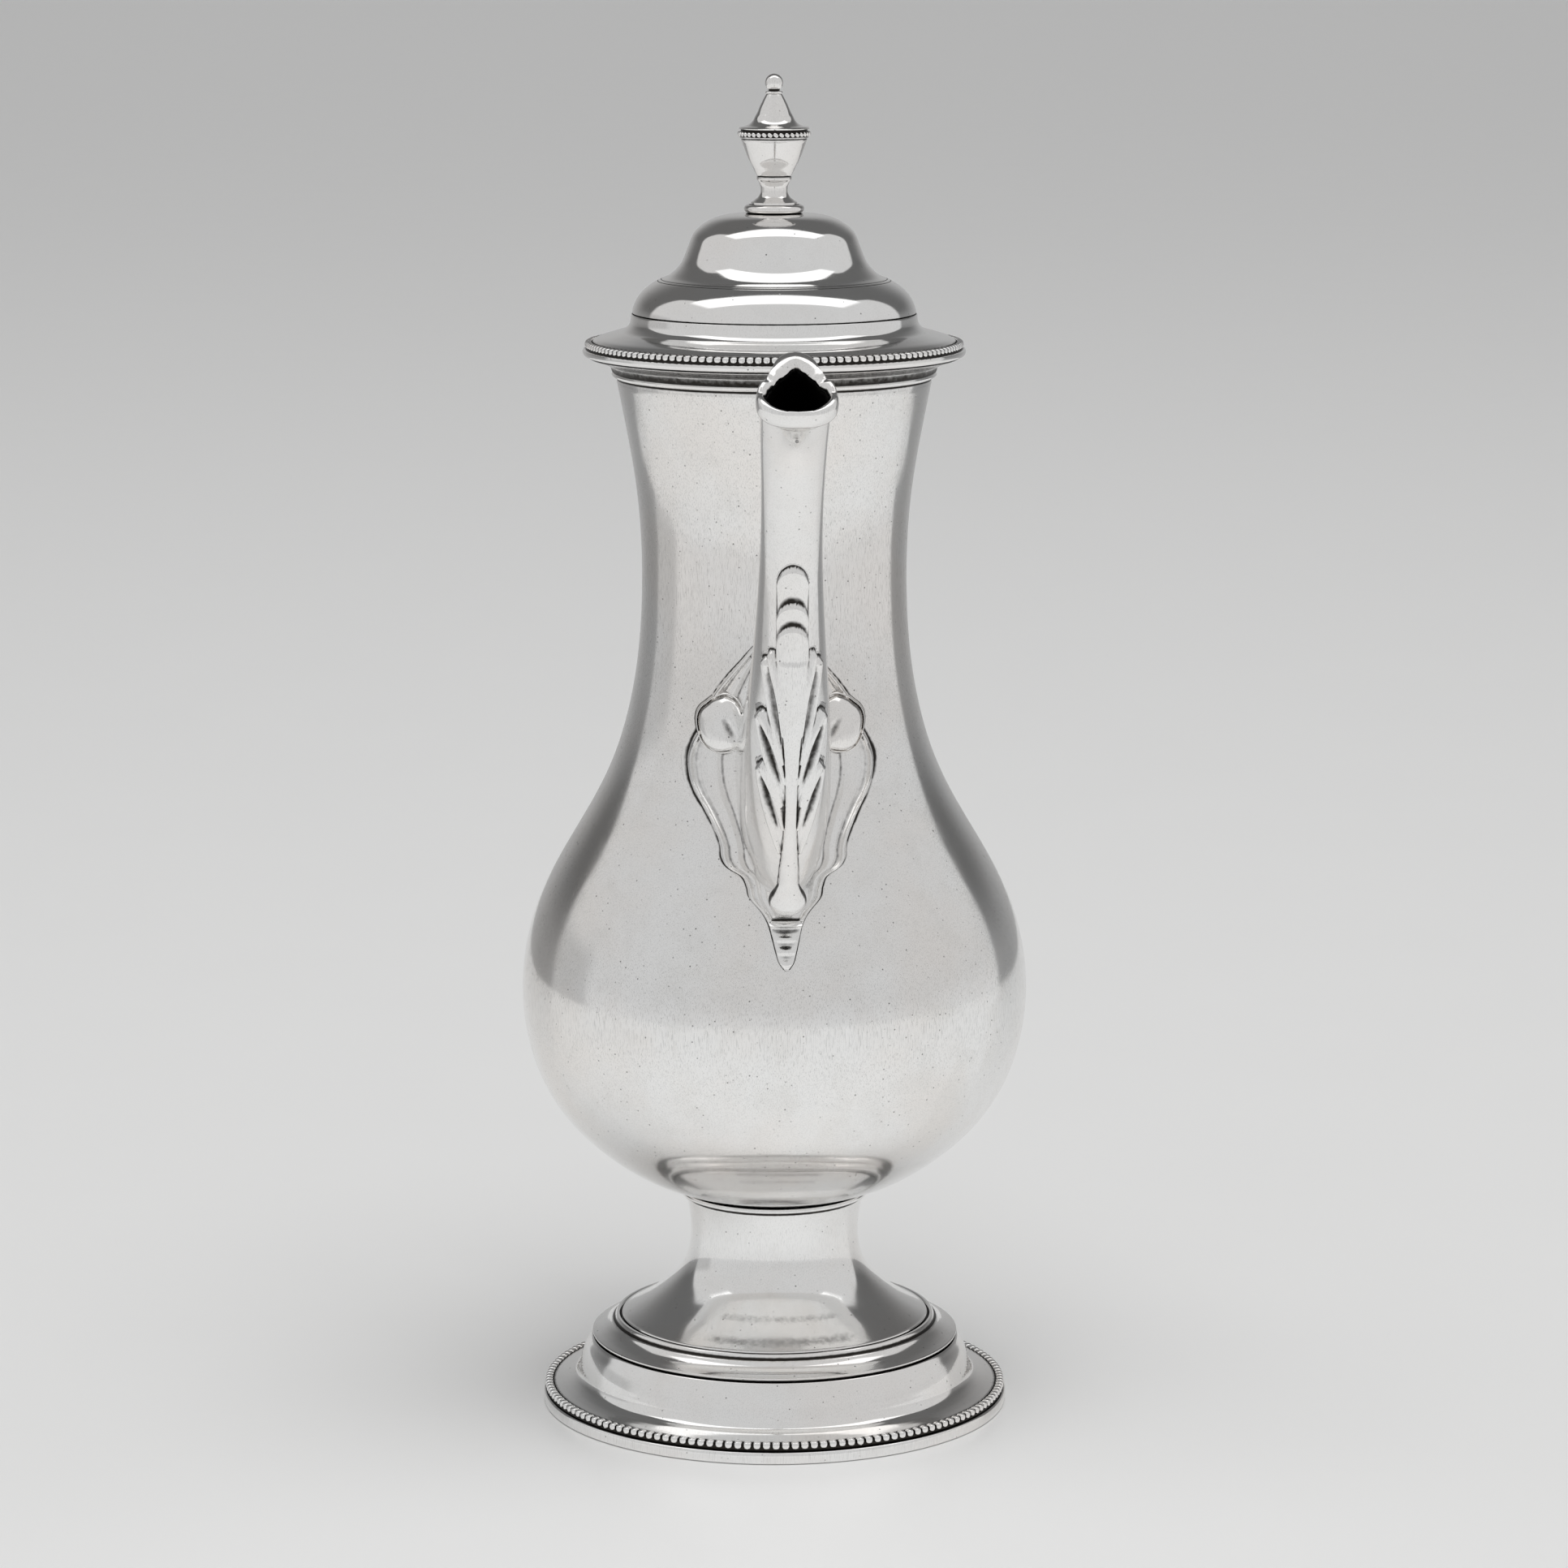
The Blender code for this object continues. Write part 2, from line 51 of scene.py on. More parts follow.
HINGE_BACK, HINGE_Z = 47.0, 247.5
KNUCKLE_RADIUS, KNUCKLE_BORE = 2.3, 1.0
FINE, BROAD, WIRE, SLIM = 224, 192, 160, 96         # segments around a turned piece


# ---- curves ----

def smooth(points, steps):
    """A smooth curve through the points, with this many steps from one point to the next."""
    p = np.array(points, float)
    p = np.vstack([2 * p[0] - p[1], p, 2 * p[-1] - p[-2]])
    t = (np.arange(steps) / steps)[:, None]
    runs = []
    for a, b, c, d in zip(p, p[1:], p[2:], p[3:]):
        runs.append(0.5 * (2 * b + (c - a) * t + (2 * a - 5 * b + 4 * c - d) * t ** 2
                           + (3 * b - a - 3 * c + d) * t ** 3))
    return np.vstack(runs + [p[-2:-1]])


def even(curve, count):
    """The curve with its points at even distances."""
    curve = np.asarray(curve, float)
    far = np.r_[0, np.cumsum(np.linalg.norm(np.diff(curve[:, :2], axis=0), axis=1))]
    want = np.linspace(0, far[-1], count)
    return np.column_stack([np.interp(want, far, column) for column in curve.T])


def fair(curve, passes):
    """The curve with small ripples taken out; its ends stay."""
    curve = np.array(curve, float)
    for _ in range(passes):
        curve[1:-1] = 0.5 * curve[1:-1] + 0.25 * (curve[:-2] + curve[2:])
    return curve


def arc(r, z, radius, start, end, steps):
    angles = np.radians(np.linspace(start, end, steps + 1))
    return [(r + radius * math.cos(a), z + radius * math.sin(a)) for a in angles]


def inset(curve, distance):
    """The curve moved to its left side by the distance."""
    curve = np.array(curve, float)
    step = np.gradient(curve[:, :2], axis=0)
    step /= np.linalg.norm(step, axis=1)[:, None]
    curve[:, 0] = np.maximum(curve[:, 0] - distance * step[:, 1], 0)
    curve[:, 1] += distance * step[:, 0]
    return curve


def lining(curve, wall, tarnish):
    """The inside of a wall, run backwards, with one darkness all along it."""
    inner = inset(curve, wall)[::-1]
    return np.column_stack([inner, np.full(len(inner), tarnish)])


def around(count):
    """Angles all round."""
    return 2 * math.pi * np.arange(count) / count


def from_front(angles):
    return np.abs((angles + math.pi) % (2 * math.pi) - math.pi)


def ease(x):
    """A smooth step from 0 to 1."""
    x = np.clip(x, 0, 1)
    return x * x * (3 - 2 * x)


def bell(x, middle, width):
    return np.exp(-((x - middle) / width) ** 2)


def squared(wave, power):
    """A sine or cosine made fuller, so that what it draws turns from round to squarish."""
    return np.sign(wave) * np.abs(wave) ** power


def blurred(field, passes):
    for _ in range(passes):
        padded = np.pad(field, 1, mode="edge")
        field = (padded[1:-1, 1:-1] * 2 + padded[:-2, 1:-1] + padded[2:, 1:-1]
                 + padded[1:-1, :-2] + padded[1:-1, 2:]) / 6
    return field


# ---- meshes ----

def put(name, data):
    made = bpy.data.objects.new(name, data)
    bpy.context.scene.collection.objects.link(made)
    return made


class Shape:
    """Collects vertices, their tarnish and painted shade, and faces, in millimetres, and becomes
    one piece.
    """

    def __init__(self):
        self.points, self.tarnish, self.faces, self.count = [], [], [], 0

    def grid(self, points, tarnish, wrap_rows=False, caps=False):
        """points is rows x columns x 3, each row a ring. Caps close the first and last row."""
        rows, columns = points.shape[:2]
        index = self.count + np.arange(rows * columns).reshape(rows, columns)
        if wrap_rows:
            index = np.vstack([index, index[:1]])
        index = np.hstack([index, index[:, :1]])
        self.faces += np.stack([index[:-1, :-1], index[:-1, 1:], index[1:, 1:], index[1:, :-1]],
                               axis=-1).reshape(-1, 4).tolist()
        if caps:
            self.faces += index[[0, -1], :-1].tolist()
        self.points.append(points.reshape(-1, 3))
        self.tarnish.append(np.ravel(tarnish))
        self.count += rows * columns

    def lathe(self, outline, segments, place=None):
        """Turned about Z from a closed outline of (radius, height, tarnish and painted shade if
        any).
        """
        outline = np.array([tuple(p) + (0.0,) * (3 - len(p)) for p in outline], float)
        angles = around(segments)
        r, z, dark = outline[:, :1], outline[:, 1:2], outline[:, 2:3]
        points = np.stack([r * np.sin(angles), -r * np.cos(angles),
                           np.repeat(z, segments, axis=1)], axis=-1)
        if place is not None:
            m = np.array(place)
            points = points @ m[:3, :3].T + m[:3, 3]
        on_axis = outline[0, 0] < 1e-6 and outline[-1, 0] < 1e-6
        self.grid(points, np.repeat(dark, segments, axis=1), wrap_rows=not on_axis)

    def piece(self, node, look, body, slot="polished_silver", crease=38):
        """Makes the finished piece that takes the place of a CAD node."""
        mesh = bpy.data.meshes.new(node + "_finish")
        mesh.from_pydata((np.vstack(self.points) * MM).tolist(), [], self.faces)
        mesh.attributes.new("tarnish", "FLOAT", "POINT")
        mesh.attributes["tarnish"].data.foreach_set("value", np.concatenate(self.tarnish))
        work = bmesh.new()
        work.from_mesh(mesh)
        bmesh.ops.remove_doubles(work, verts=work.verts, dist=2e-6)
        bmesh.ops.recalc_face_normals(work, faces=work.faces)
        work.to_mesh(mesh)
        work.free()
        mesh.shade_smooth()
        mesh.set_sharp_from_angle(angle=math.radians(crease))
        mesh.materials.append(look)
        piece = put(node + "_finish", mesh)
        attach(piece, body)
        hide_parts(node)
        return piece


def turned(node, outline, segments, look, body, slot="polished_silver"):
    shape = Shape()
    shape.lathe(outline, segments)
    shape.piece(node, look, body, slot)


def apply_modifiers(piece):
    bpy.context.view_layer.update()
    graph = bpy.context.evaluated_depsgraph_get()
    mesh = bpy.data.meshes.new_from_object(piece.evaluated_get(graph))
    piece.modifiers.clear()
    piece.data = mesh


# ---- materials ----

class Nodes:
    """Builds a node tree from short calls; values are numbers or sockets."""

    def __init__(self, tree):
        self.tree = tree

    def node(self, kind, inputs=None, **settings):
        node = self.tree.nodes.new("ShaderNode" + kind)
        for key, value in settings.items():
            setattr(node, key, value)
        for key, value in (inputs or {}).items():
            self.feed(node.inputs[key], value)
        return node

    def feed(self, socket, value):
        if isinstance(value, bpy.types.NodeSocket):
            self.tree.links.new(value, socket)
        else:
            socket.default_value = value

    def math(self, operation, a, b=0.0):
        return self.node("Math", {0: a, 1: b}, operation=operation).outputs[0]

    def plus(self, a, b):
        return self.math("ADD", a, b)

    def times(self, a, b):
        return self.math("MULTIPLY", a, b)

    def range(self, value, low, high, to_low=0.0, to_high=1.0):
        """A smooth step of the value, which falls where low is above high."""
        return self.node("MapRange", {
            "Value": value, "From Min": low, "From Max": high, "To Min": to_low,
            "To Max": to_high}, interpolation_type="SMOOTHSTEP").outputs["Result"]

    def between(self, factor, a, b, **settings):
        mix = self.node("Mix", {"Factor": factor, "A": a, "B": b}, **settings)
        return mix.outputs["Result"]


class Graph(Nodes):
    """A node material. Sizes are in millimetres."""

    def __init__(self, name):
        self.material = bpy.data.materials.new(name)
        self.material.use_nodes = True
        super().__init__(self.material.node_tree)
        self.shader = self.tree.nodes["Principled BSDF"]
        self.place = self.node("TexCoord").outputs["Object"]

    def mix(self, factor, a, b):
        a, b = [c if isinstance(c, bpy.types.NodeSocket) else (*c, 1.0) for c in (a, b)]
        return self.between(factor, a, b, data_type="RGBA")

    def noise(self, size, detail=2.0, rough=0.5, distortion=0.0):
        """Noise with features of about this size."""
        return self.node("TexNoise", {
            "Vector": self.place, "Scale": 1 / (size * MM), "Detail": detail,
            "Roughness": rough, "Distortion": distortion}).outputs["Fac"]

    def stretched(self, sizes, turn, detail, rough=0.5, distortion=0.0):
        """Noise with another size along each axis, after a turn."""
        place = self.node("Mapping", {
            "Vector": self.place, "Scale": [1 / (size * MM) for size in sizes],
            "Rotation": turn}).outputs[0]
        return self.node("TexNoise", {
            "Vector": place, "Scale": 1.0, "Detail": detail, "Roughness": rough,
            "Distortion": distortion}).outputs["Fac"]

    def scratches(self, turn, width, length, rare):
        """Hairlines along one direction: 1 on a line, 0 beside it."""
        return self.range(self.stretched((width, width, length), turn, 1.0), rare, rare + 0.05)

    def finish_with(self, colour, roughness, height, **values):
        bump = self.node("Bump", {"Height": height, "Strength": 1.0, "Distance": 1.0})
        values.update(base_color=colour, roughness=roughness, normal=bump.outputs["Normal"])
        for key, value in values.items():
            self.feed(self.shader.inputs[key.replace("_", " ").title()], value)
        return self.material


# The dark of tarnish, which also paints the shade, shadow and reflections that some pieces carry
TARNISH_AND_SHADE = (0.032, 0.029, 0.026)


def silver(name, roughness, worn, hand_raised, marks, warm):
    """Old hand-worked silver, polished many times, with dark tarnish left in the crevices.
    On some pieces the same dark colour also shows painted shade, a painted shadow and painted
    reflections.
    """
    g = Graph(name)
    broad = g.noise(34, 3, 0.55)
    cloud = g.noise(9, 5, 0.62, distortion=0.6)
    grain = g.noise(1.2, 3, 0.6)
    colour = g.mix(g.range(broad, 0.35, 0.68), (0.91, 0.91, 0.905),
                   (0.91 - 0.015 * warm, 0.89 - 0.02 * warm, 0.875 - 0.03 * warm))
    colour = g.mix(g.times(g.range(cloud, 0.42, 0.75), 0.30 * worn), colour, (0.76, 0.745, 0.72))

    # How dark each point is: tarnish, and on some pieces painted shade, a painted shadow and
    # painted reflections
    tarnish = g.node("Attribute", attribute_name="tarnish").outputs["Fac"]
    uneven = g.plus(tarnish, g.times(g.math("SUBTRACT", grain, 0.5), 0.38))
    dark = g.range(uneven, 0.22, 0.78)

    pit = g.node("TexVoronoi", {"Vector": g.place, "Scale": 1 / (1.3 * MM)})
    chance = g.node("SeparateColor", {"Color": pit.outputs["Color"]}).outputs
    rare = g.range(chance[0], 0.97 - 0.36 * marks, 1.0 - 0.36 * marks)
    deep = g.range(chance[1], 0.2, 1.0, 0.3, 1.0)
    pits = g.times(g.range(pit.outputs["Distance"], 0.20, 0.08), g.times(rare, deep))

    lines = g.scratches((0.2, 0.5, 0.3), 0.10, 3.5, 0.64)
    for turn in ((0.9, -0.5, 1.1), (1.7, 0.3, -0.6), (-0.5, 1.2, 0.4)):
        lines = g.math("MAXIMUM", lines, g.scratches(turn, 0.11, 3.0, 0.66))
    lines = g.times(lines, marks)

    # Tarnish, pits and scratches take the dark colour, and so do the painted shade and reflections
    grime_and_shade = g.math("MAXIMUM", dark, g.times(pits, 0.8))
    grime_and_shade = g.math("MAXIMUM", grime_and_shade, g.times(lines, 0.30))
    colour = g.mix(grime_and_shade, colour, TARNISH_AND_SHADE)

    rough = g.plus(roughness, g.times(g.range(cloud, 0.35, 0.8), 0.07 * worn))
    rough = g.plus(rough, g.times(lines, 0.10))
    rough = g.plus(rough, g.times(dark, 0.32))

    height = g.times(g.noise(26, 1, 0.4), 0.22 * hand_raised * MM)
    height = g.plus(height, g.times(g.noise(7, 1, 0.4), 0.028 * hand_raised * MM))
    height = g.plus(height, g.times(grain, 0.0010 * MM))
    height = g.math("SUBTRACT", height, g.times(lines, 0.0012 * MM))
    height = g.math("SUBTRACT", height, g.times(pits, 0.02 * MM))
    return g.finish_with(colour, rough, height, metallic=1.0)


def fruitwood(name):
    """Stained pearwood with close grain along the handle and a waxed surface."""
    g = Graph(name)
    grain = g.stretched((1.1, 5, 22), (0.1, 0.05, 0.0), 5.0, 0.6, 0.8)
    fine = g.stretched((0.25, 0.6, 5), (0, 0, 0), 2.0)
    worn = g.noise(14, 3)
    colour = g.mix(g.range(grain, 0.3, 0.7), (0.016, 0.008, 0.005), (0.085, 0.036, 0.016))
    colour = g.mix(g.times(g.range(fine, 0.55, 0.75), 0.5), colour, (0.008, 0.004, 0.003))
    colour = g.mix(g.times(g.range(worn, 0.55, 0.75), 0.35), colour, (0.13, 0.06, 0.028))
    rough = g.plus(g.times(fine, 0.16), g.range(worn, 0.3, 0.7, 0.34, 0.22))
    height = g.plus(g.times(grain, 0.03 * MM), g.times(fine, 0.012 * MM))
    return g.finish_with(colour, rough, height, coat_weight=0.25, coat_roughness=0.18)


RAISED = silver("raised_silver", 0.085, worn=1.0, hand_raised=1.0, marks=1.0, warm=1.0)
TURNED = silver("turned_silver", 0.065, worn=0.7, hand_raised=0.45, marks=0.55, warm=0.5)
LID = silver("lid_silver", 0.05, worn=0.6, hand_raised=0.35, marks=0.35, warm=0.3)
CAST = silver("cast_silver", 0.10, worn=0.8, hand_raised=0.3, marks=0.7, warm=0.6)
BEADED = silver("beaded_silver", 0.09, worn=0.5, hand_raised=0.0, marks=0.2, warm=0.5)
SMALL = silver("small_silver", 0.14, worn=0.8, hand_raised=0.0, marks=0.6, warm=0.5)
WOOD = fruitwood("stained_fruitwood")


# ---- body and foot ----

# The outside of the body, from the middle of its bottom to its top edge
BODY = smooth([(0, 48.0), (10, 48.6), (20.4, 50.7), (30.4, 54.3), (39.3, 60), (48.2, 68),
               (53.1, 75), (56.8, 84), (59.0, 97), (57.9, 110), (54.9, 120), (50.0, 130),
               (43.8, 140), (37.4, 152), (33.2, 166), (31.0, 180), (30.3, 196), (30.7, 208),
               (32.0, 220), (NECK_RADIUS, 240.3)], 16)
BODY = even(fair(even(BODY, 260), 90), 190)
SIDE = BODY[BODY[:, 1] > 60]


def on_body(x, z, proud):
    """A point of the body's front, at a place across and a height, standing proud."""
    radius = np.interp(z, SIDE[:, 1], SIDE[:, 0]) + proud
    return np.stack([x, -np.sqrt(np.maximum(radius ** 2 - x ** 2, 1)), z], axis=-1)


def make_body():
    r, z = BODY.T
    tarnish = 0.35 * ease((z - 239.6) / 0.7) + 0.5 * ease((21.9 - r) / 0.5) * (z < 60)
    outer = np.column_stack([BODY, tarnish])
    r = NECK_RADIUS
    top = [(r, 240.75, 0.15), (r, 241.1, 0.9), (r, 245.5, 0.4), (r - 0.2, 245.7), (r - 0.7, 245.7),
           (r - 0.9, 245.5, 0.2)]
    inner = inset(BODY[::3], 0.9)[::-1]
    # The inside is painted darker towards the bottom.
    inner = np.column_stack([inner, 0.35 - 0.2 * ease((inner[:, 1] - 120) / 80)])
    inner[0, 1] = 240.4
    shape = Shape()
    shape.lathe(list(outer) + top + list(inner[:-1]) + [(0, 48.9, 0.35)], BROAD)
    shell = shape.piece("body_shell", RAISED, "pot")
    drills, radius = bmesh.new(), 1.5 * MM
    for row in range(7):
        for x in ((-5, 0, 5) if row % 2 else (-2.5, 2.5)):
            place = Matrix.Translation((x * MM, -42 * MM, (144 + 5 * row) * MM)) \
                @ Matrix.Rotation(math.pi / 2, 4, "X")
            bmesh.ops.create_cone(drills, cap_ends=True, segments=16, radius1=radius,
                                  radius2=radius, depth=36 * MM, matrix=place)
    mesh = bpy.data.meshes.new("strainer_drills")
    drills.to_mesh(mesh)
    drills.free()
    tool = put("strainer_drills", mesh)
    holes = shell.modifiers.new("strainer", "BOOLEAN")
    holes.operation = "DIFFERENCE"
    holes.solver = "EXACT"
    holes.object = tool
    apply_modifiers(shell)
    bpy.data.objects.remove(tool)

    run = [(36.0, 241.3, 1.0), (36.4, 241.45, 0.7), (36.7, 241.65), (37.0, 241.9), (37.1, 242.15),
           (37.0, 242.4), (36.8, 242.55, 0.4), (36.75, 242.7, 0.8), (37.05, 242.85, 0.78),
           (37.2, 243.3, 0.72), (37.35, 243.8, 0.66), (37.6, 244.1, 0.5), (38.0, 244.35, 0.05),
           (38.9, 244.8), (39.7, 245.15, 0.05), (39.9, 245.2, 0.5), (40.1, 245.3, 0.45),
           (40.4, 245.4), (41.2, 245.65), (42.0, 245.8), (42.3, 245.95, 0.1), (42.2, 246.15, 0.8),
           (41.7, 246.17, 0.12), (36.9, 246.2, 0.12), (36.2, 246.2, 0.7), (36.2, 241.4, 1.0)]
    turned("neck_rim_moulding", run, FINE, TURNED, "pot")


def make_foot():
    stem = smooth([(35.4, 21.05), (33.0, 22.35), (30.3, 24.0), (27.6, 26.0), (25.0, 28.2),
                   (22.8, 30.4), (21.1, 33.0), (20.05, 36.2), (19.6, 40), (19.75, 44),
                   (20.3, 47.6), (20.75, 49.3)], 10)
    stem = fair(even(stem, 110), 20)
    stem = np.column_stack([stem, 0.9 * ease((stem[:, 1] - 48.8) / 0.5)])
    lip = [(35.2, 20.4, 0.9), (35.75, 20.45, 0.3), (35.95, 20.75), (35.8, 21.0)]
    inner = lining(stem[::4, :2], 0.8, 0.4)
    inner[0, 1] = 49.6
    shape = Shape()
    shape.lathe(lip + list(stem) + [(20.5, 49.9, 1.0)] + list(inner) + [(34.6, 20.3, 0.8)], BROAD)
    x, y, z = shape.points[0].T
    far, angle = np.hypot(x, y), np.degrees(np.arctan2(x, -y))
    # Painted reflection: two dark rings on the foot's plate, on its front only
    front_reflection = 0.40 * bell(far, 27.4, 1.4) + 0.46 * bell(far, 33.0, 2.0)
    front_reflection *= ease((40 - np.abs(angle)) / 14) * (z > 21)
    shape.tarnish[0] = np.maximum(shape.tarnish[0], front_reflection)
    shape.piece("foot_stem", TURNED, "pot")
    wire = arc(21.45, 50.3, 0.55, -90, 180, 14)
    wire = [(r, z, 0.85 if k < 3 else 0.0) for k, (r, z) in enumerate(wire)]
    turned("stem_joint_wire", wire, WIRE, TURNED, "pot", "beaded_silver")

    ridge = [(35.2, 20.2, 1.0), (36.15, 20.25, 1.0), (36.3, 20.45, 0.4), (36.6, 20.75),
             (37.1, 20.75), (37.45, 20.4, 0.1), (37.6, 19.95, 0.8), (37.85, 19.6, 0.95),
             (38.2, 19.45, 0.35)]
    cavetto = smooth([(38.35, 19.3), (38.9, 18.6), (39.8, 17.85), (40.9, 17.3), (42.0, 16.95),
                      (42.6, 16.8)], 6)
    cavetto = [(r, z, 0.25 * ease((39.2 - r) / 0.8)) for r, z in cavetto]
    edge = [(42.85, 16.65), (42.9, 16.4, 0.3), (42.75, 16.15, 1.0), (42.3, 16.0, 1.0),
            (40.8, 16.0, 1.0), (37.8, 17.4, 0.6), (35.4, 19.6, 0.6)]
    turned("foot_moulding", ridge + cavetto + edge, FINE, TURNED, "pot")

    dome = smooth([(42.6, 15.75), (43.1, 15.6), (43.7, 14.6), (44.6, 12.9), (45.3, 10.9),
                   (45.75, 8.9), (46.1, 7.4), (46.9, 6.2), (48.2, 5.45), (50.0, 4.95),
                   (52.0, 4.6)], 8)
    r = dome[:, 0]
    dark = 0.9 * ease((43.0 - r) / 0.4) + 0.55 * ease((r - 51.2) / 0.7)
    dome = np.column_stack([dome, dark + 0.22 * ease(1 - abs(r - 47.0) / 0.8)])
    inner = lining(dome[::3, :2], -0.8, 0.5)
    turned("foot_dome", list(dome) + list(inner), FINE, TURNED, "pot")

    band = [(50.6, 0, 0.6), (54.05, 0, 0.5), (54.35, 0.15, 0.1), (54.5, 0.45, 0.12),
            (54.5, 2.4, 0.18), (54.35, 2.7, 0.1), (54.05, 2.85, 0.7), (52.2, 3.0, 1.0),
            (50.6, 3.0, 0.6)]
    turned("foot_rim_band", band, FINE, TURNED, "pot")


def bead_border(node, body, count, radius, height, size, squareness, strip, tilt=0.0, seed=1):
    """A wire of beads. size is each bead's half-width along the ring, half-depth and half-height;
    strip is the outline of the wire that carries them."""
    rng = np.random.default_rng(seed)
    shape = Shape()
    lat = np.linspace(-math.pi / 2, math.pi / 2, 9)[:, None]
    lon = around(14)[None, :]
    unit = squared(np.stack([np.broadcast_to(np.sin(lat), (9, 14)), np.cos(lat) * np.cos(lon),
                             np.cos(lat) * np.sin(lon)], axis=-1), squareness)
    tarnish = np.maximum(ease((np.abs(unit[..., 0]) - 0.76) / 0.18),
                         0.8 * ease((-unit[..., 2] - 0.72) / 0.25))
    for k in range(count):
        scale = np.array(size) * (1 + rng.normal(0, 0.02, 3))
        lean, angle = tilt + rng.normal(0, 0.02), 2 * math.pi * k / count
        x, y, z = np.moveaxis(unit * scale, -1, 0)
        c, s = math.cos(lean), math.sin(lean)
        x, r, z = x * c - z * s, radius + y, x * s + z * c
        c, s = math.cos(angle), math.sin(angle)
        shape.grid(np.stack([r * s + x * c, -r * c + x * s, height + z], axis=-1), tarnish)
    shape.lathe(strip, WIRE)
    shape.piece(node, BEADED, body, "beaded_silver", crease=60)


def make_borders():
    bead_border("foot_bead_border", "pot", 155, 53.2, 4.1, (0.95, 0.98, 1.0), 0.72,
                [(51.9, 3.1, 1), (53.9, 3.1, 1), (54.15, 3.6, 1), (53.3, 4.3, 1), (52.1, 4.4, 1)])
    bead_border("lid_bead_border", "lid", 146, 42.4, 248.95, (0.84, 0.80, 0.80), 0.74,
                [(41.3, 248.0, 1), (43.0, 248.0, 1), (43.05, 248.5, 1), (42.3, 249.1, 1),
                 (41.5, 249.3, 1)], seed=2)
    bead_border("finial_bead_band", "lid", 38, 7.75, 296.5, (0.66, 0.62, 0.50), 0.85,
                [(6.3, 295.5, 1), (7.6, 295.5, 0.6), (7.85, 295.7), (7.75, 295.95, 0.8),
                 (7.7, 296.5, 1), (7.5, 297.5, 1), (6.3, 297.5, 1)], tilt=-0.55, seed=3)


# ---- spout ----

# Sections of the spout: forward and height of its front, the same of its back, half-width
STATIONS = [
    (42, 127.0, 24, 181.0, 10.6), (60, 132.5, 35, 183.5, 10.2), (66.5, 138.5, 41, 185.5, 9.9),
    (71.5, 146.5, 46.5, 188.2, 9.6), (78.5, 161, 56, 194.5, 8.8), (82, 178, 63, 203.0, 7.8),
    (83, 193, 67.5, 211.0, 7.1), (84.5, 206, 71, 219.0, 6.7), (88, 219, 75.5, 228.0, 6.7),
    (94, 230.5, 81, 239.0, 7.1), (101.5, 238.3, 87.5, 249.0, 7.6),
    (109.0, 242.4, 92.5, 254.7, 8.3)]
MOUTH_FRONT, MOUTH_BACK = np.array(STATIONS[-1][:2]), np.array(STATIONS[-1][2:4])
MOUTH_CENTRE = (MOUTH_FRONT + MOUTH_BACK) / 2
MOUTH_UP = (MOUTH_BACK - MOUTH_FRONT) / np.linalg.norm(MOUTH_BACK - MOUTH_FRONT)
MOUTH_OUT = np.array([MOUTH_UP[1], -MOUTH_UP[0]])

# Half outlines of the mouth, (across, up from the middle), from the front to the hood's top
OUTER_LIP = [(0, -8.9), (3.0, -8.7), (5.8, -7.7), (7.8, -5.7), (8.6, -3.2), (8.5, -1.0),
             (8.1, 0.9), (7.3, 2.5), (6.4, 3.5), (5.5, 5.1), (4.8, 6.9), (4.3, 8.5), (3.2, 10.1),
             (1.7, 11.2), (0, 11.6)]
LIP_CREST = [(0, -7.9), (2.8, -7.6), (5.2, -6.4), (7.0, -4.3), (7.7, -2.2), (7.6, -0.4),
             (7.2, 1.2), (6.5, 2.4), (5.9, 3.8), (5.1, 5.4), (4.2, 6.7), (2.4, 8.1), (1.1, 8.7),
             (0, 8.9)]
OPENING = [(0, -7.2), (2.4, -6.7), (4.7, -5.1), (5.9, -3.4), (6.45, -1.6), (6.1, -0.1), (5.2, 1.3),
           (4.6, 2.4), (3.5, 3.6), (2.4, 4.8), (1.5, 5.9), (0.8, 6.9), (0, 7.9)]
THROAT = [(0, -6.6), (2.4, -6.1), (4.6, -4.8), (5.8, -3.2), (6.2, -1.5), (5.9, 0.3), (5.1, 2.2),
          (4.0, 4.2), (2.8, 5.8), (1.4, 6.9), (0, 7.3)]


def polar(outline, angles):
    """The outline's distance from the mouth's middle at angles measured from its front."""
    curve = smooth(outline, 12)
    bearing = np.arctan2(curve[:, 0], -curve[:, 1])
    order = np.argsort(bearing)
    return np.interp(from_front(angles), bearing[order], np.hypot(curve[:, 0], curve[:, 1])[order])


def section(station, angles, proud):
    """A ring of the spout; angle 0 is its front."""
    front, back = np.array(station[:2]), np.array(station[2:4])
    along = front - back
    half = np.linalg.norm(along) / 2 + proud
    along = along / np.linalg.norm(along)
    middle = (front + back) / 2
    forward = middle[0] + along[0] * half * np.cos(angles)
    height = middle[1] + along[1] * half * np.cos(angles)
    return np.stack([(station[4] + proud) * np.sin(angles), -forward, height], axis=-1)


def mouth_ring(radius, angles, out):
    across, up = radius * np.sin(angles), -radius * np.cos(angles)
    forward = MOUTH_CENTRE[0] + MOUTH_UP[0] * up + MOUTH_OUT[0] * out
    height = MOUTH_CENTRE[1] + MOUTH_UP[1] * up + MOUTH_OUT[1] * out
    return np.stack([across, -forward, height], axis=-1)


